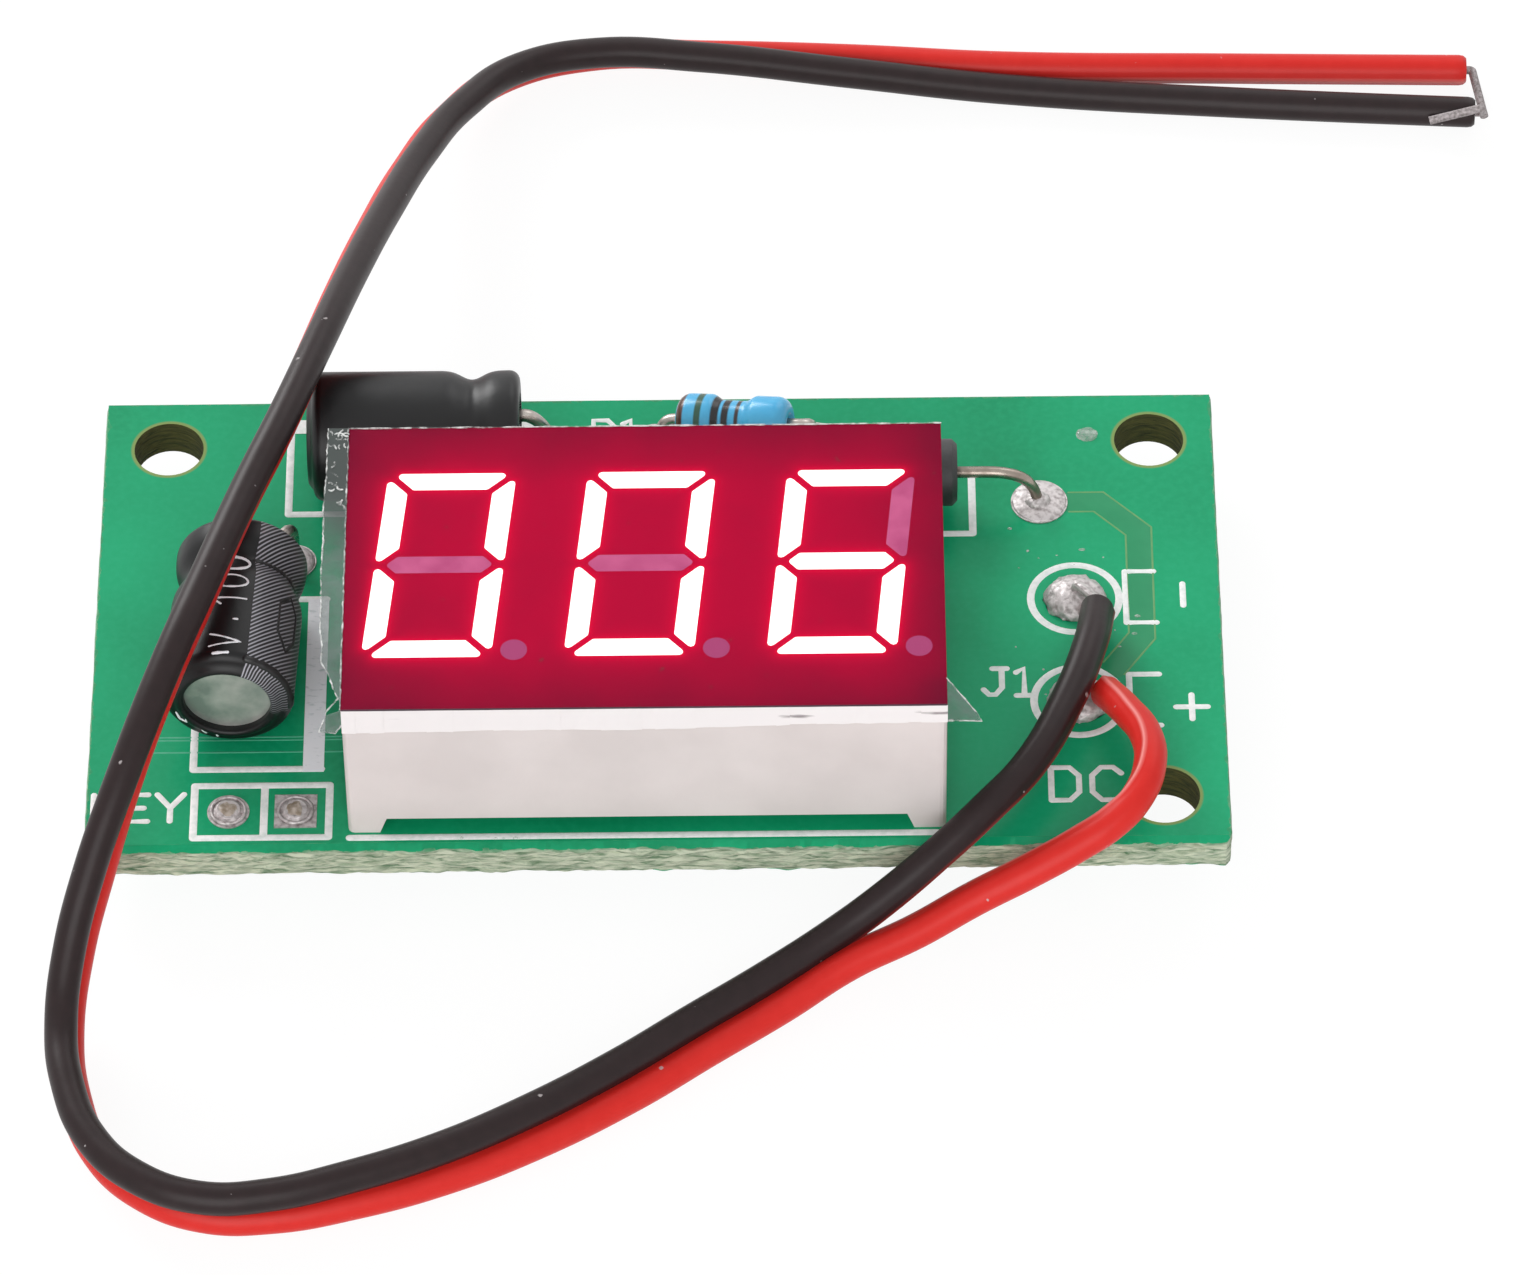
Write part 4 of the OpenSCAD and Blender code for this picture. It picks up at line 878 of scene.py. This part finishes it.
# Painted shade: dark lines across the stripe in the groove and at the fold over the can's end
STRIPE_SHADE_LINES = (
    [(-104, GROOVE_AT, groove_r), (-20, GROOVE_AT + 0.1, groove_r)],
    [(-100, LEFT_L - 0.2, CAP_R - 0.05), (-20, LEFT_L - 0.2, CAP_R - 0.05)],
)
lie = laid(LEFT_BUNG, LEFT_TURN)
for name, strokes, width, ink in (
    ("left_capacitor_print", SLEEVE_PRINT, PRINT_W, thin_ink),
    ("left_capacitor_minus_sign", MINUS_SIGN, MINUS_W, black_ink_and_shade),
    ("left_capacitor_stripe_shade_lines", STRIPE_SHADE_LINES, SHADE_LINE_W, black_ink_and_shade),
):
    lines = []
    for stroke in strokes:
        fine = ragged([(*point, CAP_R)[:3] for point in stroke], 4, 0)
        turned = [(math.radians(a), h, r - 0.3 * width) for a, h, r in fine]
        lines.append([
            lie @ (Vector((r * math.cos(a), r * math.sin(a), h)) * MM) / MM for a, h, r in turned
        ])
    piece(tubes(name, lines, width, 0.35), ink, "capacitor_sleeve")
# Drawn aluminium: grey and softly bright, with blotches of painted reflection, some greenish like the board
aluminium = mottled(
    "drawn_aluminium_painted_reflection", {"Metallic": 0.5}, 1.6, 5, ("#87958D", "#CDCDC8"), (0.35, 0.65),
    {"Roughness": (0.3, 0.7, 0.45, 0.3)},
)
dress(aluminium, "left_capacitor_can", "rear_capacitor_can")
# The rear capacitor's leads slant down from the bung, which lies close to their holes
CAP_LEAD_D = 0.5
CAP_LEAD_PITCH = 2
LEAD_TIP = CAP_LEAD_D / 2


def bent_lead(start, out, hole, straight=0.3, far=0.85, drop=0.6):
    """Gives points along a lead that leaves a body, bends over in an easy curve and goes into its hole."""
    start, out = Vector(start), Vector(out)
    foot = Vector((*hole, BOARD_TOP - 0.4))
    reach = (foot - start).xy.length
    over = Vector((*hole, start.z - drop)) - 0.15 * out
    leave, lean = start + straight * reach * out, start + far * reach * out
    bend = geometry.interpolate_bezier(leave, lean, over, foot, 24)
    return [start - 0.05 * out, *bend, Vector((*hole, LEAD_TIP))]


leads_low, leads_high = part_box("rear_capacitor_leads")
rear_lead_lines = []
for side, hole_y in ((-1, leads_low.y / MM + CAP_LEAD_D / 2), (1, leads_high.y / MM - CAP_LEAD_D / 2)):
    hole = (leads_high.x / MM - CAP_LEAD_D / 2, hole_y)
    start = Vector(REAR_BUNG) + Vector((0, side * CAP_LEAD_PITCH / 2, 0))
    rear_lead_lines.append(bent_lead(start, (1, 0, 0), hole, straight=0.08, far=0.4, drop=1.2))
rear_leads = tubes("rear_capacitor_bent_leads", rear_lead_lines, CAP_LEAD_D)
piece(rear_leads, tinned_wire, "tinned_lead", "rear_capacitor_leads")
# Butyl rubber: matt black
rubber = mottled("butyl_rubber", {"Roughness": 0.75, "IOR": 1.52}, 0.3, 4, ("#1B1B1C", "#2C2B2B"))
dress(rubber, "left_capacitor_bung", "rear_capacitor_bung")


# Resistor
# A metal film resistor: a ceramic rod with pressed end caps, dipped in blue lacquer and ringed with bands.
# It sits askew on its leads with one end tipped up, and the lacquer draws in to a dimple round each lead.
RESISTOR_TURN = -14
RESISTOR_RISE = 11
RESISTOR_SHIFT = (0, -0.3, 0.35)
RESISTOR_LEAD_D = 0.45
RESISTOR_CAP_L = 1.3
RESISTOR_FLARE = 0.5
RESISTOR_WAIST = 0.22
SHOULDER_R = 0.5
DIMPLE = ((0, 0.14), (0.3, 0.14), (0.42, 0))
BAND_BLUR = 0.03
BANDS = (
    (-2.0, 0.3, "#5A3A30"), (-1.25, 0.26, "#2E5A48"), (-0.6, 0.28, "#17171A"), (-0.2, 0.28, "#17171A"),
    (0.28, 0.16, "#3A2A28"),
)
body_low, body_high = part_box("resistor_body")
body_middle = (body_low + body_high) / 2 / MM + Vector(RESISTOR_SHIFT)
body_l = (body_high.x - body_low.x) / MM
body_r = (body_high.z - body_low.z) / MM / 2
lie = (
    Matrix.Translation(body_middle * MM) @ Matrix.Rotation(math.radians(RESISTOR_TURN), 4, "Z")
    @ Matrix.Rotation(math.radians(-90 - RESISTOR_RISE), 4, "Y")
    @ Matrix.Translation((0, 0, -body_l / 2 * MM))
)
body_axis = lie.to_3x3() @ Vector((0, 0, -1))
lacquer = mottled("blue_lacquer", {"Roughness": 0.25, "IOR": 1.5}, 0.8, 3, ("#3FAEE6", "#62CAF5"))
tree = lacquer.node_tree
along = own_axes(tree, lie)
for middle, width, colour in BANDS:
    off = add(tree, "Math", (along["Z"], (body_l / 2 - middle) * MM), operation="SUBTRACT")
    away = add(tree, "Math", (off,), operation="ABSOLUTE")
    ends = [(width / 2 + blur) * MM for blur in (-BAND_BLUR, BAND_BLUR)]
    overlay(lacquer, colour, add(tree, "MapRange", (away, *ends, 1, 0)))
shoulder = [math.radians(a) for a in range(0, 91, 15)]
flare = [(RESISTOR_WAIST * (1 - math.cos(i * math.pi / 8)) / 2, RESISTOR_FLARE * i / 8) for i in range(9)]
half_outline = [
    *DIMPLE,
    *[(body_r - SHOULDER_R * (1 - math.sin(a)), SHOULDER_R * (1 - math.cos(a))) for a in shoulder],
    *[(body_r - sink, RESISTOR_CAP_L + on) for sink, on in flare],
]
outline = half_outline + [(r, body_l - h) for r, h in reversed(half_outline)]
piece(spun(outline, lie, "resistor_lacquer"), lacquer, "resistor", "resistor_body")
leads_low, leads_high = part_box("resistor_leads")
leads_y = (leads_low.y + leads_high.y) / 2 / MM
resistor_lines = [
    bent_lead(
        body_middle + out * body_axis * (body_l / 2 - 0.1), out * body_axis,
        (corner.x / MM - out * RESISTOR_LEAD_D / 2, leads_y),
    )
    for out, corner in ((1, leads_high), (-1, leads_low))
]
resistor_leads = tubes("resistor_bent_leads", resistor_lines, RESISTOR_LEAD_D)
piece(resistor_leads, tinned_wire, "tinned_lead", "resistor_leads")


# Diode
# A rectifier diode in a black moulded body, with a silver ring printed at its cathode end. Its leads are
# dulled tinned wire, bent over in easy curves by hand. The chips under the board have the same epoxy.
RING_FROM_END, RING_HALF = 0.85, 0.35
DIODE_LEAD_D = 0.45
DIODE_Y = 5.6
DIODE_HOLES_X = (14.75, 4.59)
moulded_epoxy = mottled(
    "black_moulded_epoxy", {"Roughness": 0.5, "IOR": 1.55}, 0.2, 4, ("#1A1A1B", "#303032"),
    relief=(0.2, 0.05),
)
dress(moulded_epoxy, "controller_chip", "regulator_body", "chip_resistor_bodies")
diode_low, diode_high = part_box("diode_body")
ringed_epoxy = moulded_epoxy.copy()
ringed_epoxy.name = "ringed_moulded_epoxy"
tree = ringed_epoxy.node_tree
along = add(tree, "SeparateXYZ", (add(tree, "TexCoord").outputs["Object"],)).outputs
ring_x = diode_low.x + RING_FROM_END * MM
ring = add(tree, "Math", (along["X"], ring_x, RING_HALF * MM), operation="COMPARE")
overlay(ringed_epoxy, "#C4C4C6", ring)
dress(ringed_epoxy, "diode_body")
diode_z = (diode_low.z + diode_high.z) / 2 / MM
diode_lines = [
    bent_lead((end, DIODE_Y, diode_z), (out, 0, 0), (hole, DIODE_Y))
    for end, out, hole in zip((diode_high.x / MM, diode_low.x / MM), (1, -1), DIODE_HOLES_X)
]
dull_wire = wire_finish("dulled_tinned_wire", "#6E6258", "#B4A89E")
piece(tubes("diode_bent_leads", diode_lines, DIODE_LEAD_D), dull_wire, "diode_lead", "diode_leads")


# Supply lead
# Two stranded tinned cores in black and red PVC, bonded side by side and parted at both ends. The parted
# starts are soldered to the board, and the far ends are stripped bare.
WIRE_D = 1.25
BOND_PITCH = 1.27
PARTING = (0.65, 1.1)
RED_TRIM = 0.4
BLACK_ROUTE = (
    (16.8, -0.7, 4.6), (16.4, -3.1, 5.3), (15.4, -6.2, 5.5), (13.9, -9.2, 5.4), (12.4, -10.9, 5.1),
    (10.5, -12.4, 4.2), (8.5, -13.6, 3.1), (6.5, -14.7, 2.2), (4, -16.3, 1.7), (1.3, -18.2, 1.6),
    (-1.5, -20.2, 1.5), (-5, -22.6, 1.7), (-8.1, -24.3, 1.8), (-11.3, -25.6, 1.9), (-14.2, -26.4, 1.9),
    (-16.8, -26.5, 1.9), (-19.2, -25.5, 1.9), (-20.9, -23.7, 1.9), (-21.9, -21.1, 2), (-22.2, -18.6, 2.3),
    (-21.9, -16.4, 3.8), (-21.1, -14.4, 6), (-19.8, -11.7, 8.4), (-18.3, -8, 10.1), (-16.9, -4.1, 10.7),
    (-15.5, 0.2, 10.8), (-14.1, 4.2, 10.8), (-13, 8.2, 10.2), (-11.8, 13.8, 8.4), (-10.7, 18.9, 6.4),
    (-9.4, 24.1, 4.3), (-7.9, 28.1, 2.8), (-5.7, 31, 1.9), (-2.5, 32, 1.7), (1.6, 31.8, 1.6),
    (7.7, 31.2, 1.2), (13.8, 30.7, 0.7), (23.2, 29.8, 0.7), (33.1, 29.1, 0.7),
)
RED_TURNS = (
    36, 40, 42, 43, 55, 67, 77, 87, 95, 100, 102, 101, 97, 92, 87, 80, 78, 77, 74, 73, 70, 65, 61, 58, 56,
    54, 50, 43, 20, 0, 0, 0,
)
RED_START = (
    (17, -4.9, 4.6), (17.7, -6.4, 5.3), (18.4, -8, 5.7), (18.5, -9.5, 5.8), (18, -10.9, 5.6),
    (17.1, -11.8, 5.2), (15.8, -12.4, 4.6), (14, -13, 3.8), (11.9, -13.6, 2.9), (9.7, -14.5, 2.1),
)
RED_START_RIDGE = [-90, -85, -75, -65, -55, -45, -40, -36, -36, -36]
BLACK_L = 0.152
RED_L = 0.153
black_route = [Vector(point) * MM for point in BLACK_ROUTE]
first_bonded = len(black_route) - len(RED_TURNS)
red_route = [Vector(point) * MM for point in RED_START]
for station, turn in enumerate(RED_TURNS):
    at = station + first_bonded
    ahead = black_route[min(at + 1, len(black_route) - 1)]
    heading = (ahead - black_route[at - 1]).normalized()
    left = Vector((-heading.y, heading.x, 0)).normalized()
    down = left.cross(heading)
    from_last = len(RED_TURNS) - 1 - station
    parted = PARTING[len(PARTING) - 1 - from_last] if from_last < len(PARTING) else 0
    lean = math.radians(turn)
    reach = (BOND_PITCH + parted) * MM
    red_route.append(black_route[at] + reach * (math.cos(lean) * left + math.sin(lean) * down))
red_route[-1] -= heading * RED_TRIM * MM
# Bare ends: fine copper strands run together with tin, dull grey and uneven
tinned_strands = mottled(
    "tinned_strands", {"Metallic": 0.5, "Roughness": 0.5}, 0.12, 3, ("#77706F", "#A8A0A1"), (0.35, 0.65),
)
dress(tinned_strands, "black_wire_tip", "red_wire_tip")
# Section of a wire: round, with the low ridge that stays where the bond was torn, drawn in at the cut end
CUT_END = ((0.3, 1), (0.12, 0.95), (0, 0.8))
RIDGE_H = 0.09
RIDGE_HALF = 16
SECTION_STEPS = 40
section_line = bpy.data.curves.new("wire_section", "CURVE")
section_line.dimensions = "3D"
section_ring = section_line.splines.new("POLY")
section_ring.use_cyclic_u = True
section_ring.points.add(SECTION_STEPS - 1)
for step, point in enumerate(section_ring.points):
    a = 360 * step / SECTION_STEPS
    from_ridge = min(a, 360 - a) / RIDGE_HALF
    radius = (WIRE_D / 2 + RIDGE_H * max(0, 1 - from_ridge)) * MM
    point.co = (radius * math.cos(math.radians(a)), radius * math.sin(math.radians(a)), 0, 1)
section = bpy.data.objects.new("wire_section", section_line)
# The ridge faces the other wire, and near the red wire's pad it twists to the top
black_ridge = [172] * (first_bonded - 1) + [160] + [180 - turn for turn in RED_TURNS]
red_ridge = RED_START_RIDGE + [-turn for turn in RED_TURNS]


def insulated_wire(name, route, ridge, material, slot, length, *bare):
    """Makes one insulated wire of the lead along its route, with its ridge turned by these angles."""
    curve = bpy.data.curves.new(name, "CURVE")
    curve.dimensions = "3D"
    curve.twist_mode = "Z_UP"
    curve.bevel_mode = "OBJECT"
    curve.bevel_object = section
    curve.resolution_u = 10
    curve.use_fill_caps = True
    spline = curve.splines.new("BEZIER")
    end = (route[-1] - route[-2]).normalized() * MM
    knots = [(point, turn, 1) for point, turn in zip(route[:-1], ridge)]
    knots += [(route[-1] - back * end, ridge[-1], share) for back, share in CUT_END]
    spline.bezier_points.add(len(knots) - 1)
    for knot, (point, turn, share) in zip(spline.bezier_points, knots):
        knot.co = point
        knot.tilt = math.radians(turn)
        knot.radius = share
        knot.handle_left_type = "AUTO"
        knot.handle_right_type = "AUTO"
    wire = bpy.data.objects.new(name, curve)
    scene.collection.objects.link(wire)
    curve.materials.append(material)
    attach(wire, "root")
    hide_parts(name.removesuffix("_insulation"))


# Extruded PVC: satin with a soft highlight, faint die lines and specks of dust, black with a brown cast or
# clear red. The torn ridge carries a thin skin of red on the black wire; on the red wire it is paler, a pale
# torn skin with a painted highlight along the ridge laid into its colour.
for name, tones, torn, route, ridge, slot, length in (
    ("black_wire", ("#1F1516", "#2D2021"), "#9A302B", black_route, black_ridge, "black_insulation", BLACK_L),
    ("red_wire", ("#D72620", "#E2302A"), "#F4938E", red_route, red_ridge, "red_insulation", RED_L),
):
    pvc = mottled(
        "extruded_pvc_" + name, {"Roughness": 0.4, "IOR": 1.53, "Specular IOR Level": 0.22}, 0.6, 4, tones,
        relief=(0.15, 0.06),
    )
    tree = pvc.node_tree
    place = add(tree, "TexCoord").outputs
    dust = add(tree, "TexNoise", {"Vector": place["Object"], "Scale": 1 / (0.5 * MM), "Detail": 2})
    overlay(pvc, "#C8C0C0", add(tree, "MapRange", (dust, 0.75, 0.79, 0, 0.7)))
    round_share = add(tree, "SeparateXYZ", (place["UV"],)).outputs["Y"]
    from_middle = add(tree, "Math", (round_share, 0.5), operation="SUBTRACT")
    from_far_side = add(tree, "Math", (from_middle,), operation="ABSOLUTE")
    ridge_start = 0.5 - 0.8 * RIDGE_HALF / 360
    # Ridge tone: a red skin on the black wire, and on the red wire a pale skin with a painted highlight
    overlay(pvc, torn, add(tree, "MapRange", (from_far_side, ridge_start, 0.5, 0, 0.8)))
    insulated_wire(name + "_insulation", route, ridge, pvc, slot, length, name + "_tip")


# Studio
# The module lies on white paper under soft light. A long lens looks on from in front and above, as it does
# in the photo.
FLOOR_HALF = 0.9
PAPER_GLOW, PAPER_GLOW_SHARE = 1.05, 0.88
SKY_DIM, SKY_SEEN = 0.45, 1
AIM = (4.102, -1.169, 3.6)
AZIMUTH, ELEVATION, ROLL = 0.213, 49.325, -0.727
DISTANCE = 353.134
FOCAL_PIXELS = 9222.449
PICTURE_W = 1531
SENSOR = 36


def backdrop_rays(tree):
    """Gives 1 on the rays that show the backdrop itself: straight, mirrored or through glass."""
    ray = add(tree, "LightPath").outputs
    seen = add(tree, "Math", (ray["Is Camera Ray"], ray["Is Glossy Ray"]), operation="MAXIMUM")
    return add(tree, "Math", (seen, ray["Is Transmission Ray"]), operation="MAXIMUM")


scene.view_settings.view_transform = "Standard"
bm = bmesh.new()
bmesh.ops.create_grid(bm, x_segments=1, y_segments=1, size=FLOOR_HALF)
floor_mesh = bpy.data.meshes.new("floor")
bm.to_mesh(floor_mesh)
bm.free()
floor = bpy.data.objects.new("floor", floor_mesh)
scene.collection.objects.link(floor)
# White paper: matt, and nearly pure white to the lens, with the module's soft shadow left on it
paper = bpy.data.materials.new("white_paper")
paper.use_nodes = True
tree = paper.node_tree
tree.nodes.clear()
white_share = add(tree, "Math", (backdrop_rays(tree), PAPER_GLOW_SHARE), operation="MULTIPLY")
matt = add(tree, "BsdfDiffuse", {"Color": "#F4F4F4"})
white = add(tree, "Emission", {"Color": "#FFFFFF", "Strength": PAPER_GLOW})
add(tree, "OutputMaterial", {"Surface": add(tree, "MixShader", (white_share, matt, white))})
floor_mesh.materials.append(paper)

world = bpy.data.worlds.new("studio")
world.use_nodes = True
scene.world = world
tree = world.node_tree
tree.nodes.clear()
strength = add(tree, "MapRange", (backdrop_rays(tree), 0, 1, SKY_DIM, SKY_SEEN))
sky = add(tree, "Background", {"Color": "#FFFFFF", "Strength": strength})
add(tree, "OutputWorld", {"Surface": sky})

for name, watts, size, place in (
    ("left_softbox", 2.3, 0.3, (-0.3, 0.46, 0.3)),
    ("rear_softbox", 0.7, 0.4, (0.3, 0.5, 0.45)),
    ("front_softbox", 2.3, 0.5, (-0.1, -0.55, 0.3)),
):
    lamp = bpy.data.lights.new(name, "AREA")
    lamp.energy = watts
    lamp.size = size
    light = bpy.data.objects.new(name, lamp)
    light.location = place
    light.rotation_euler = (-Vector(place)).to_track_quat("-Z", "Y").to_euler()
    scene.collection.objects.link(light)

lens = bpy.data.cameras.new("camera")
lens.sensor_width = SENSOR
lens.lens = FOCAL_PIXELS * SENSOR / PICTURE_W
lens.clip_end = 10
lens.clip_start = 0.01
azimuth, elevation, roll = (math.radians(a) for a in (AZIMUTH, ELEVATION, ROLL))
back = Vector((
    math.sin(azimuth) * math.cos(elevation), -math.cos(azimuth) * math.cos(elevation), math.sin(elevation),
))
level = Vector((math.cos(azimuth), math.sin(azimuth), 0))
above = back.cross(level)
right = math.cos(roll) * level + math.sin(roll) * above
up = math.cos(roll) * above - math.sin(roll) * level
view = Matrix((right, up, back)).transposed().to_4x4()
view.translation = (Vector(AIM) + DISTANCE * back) * MM
camera = bpy.data.objects.new("camera", lens)
camera.matrix_world = view
scene.collection.objects.link(camera)
scene.camera = camera
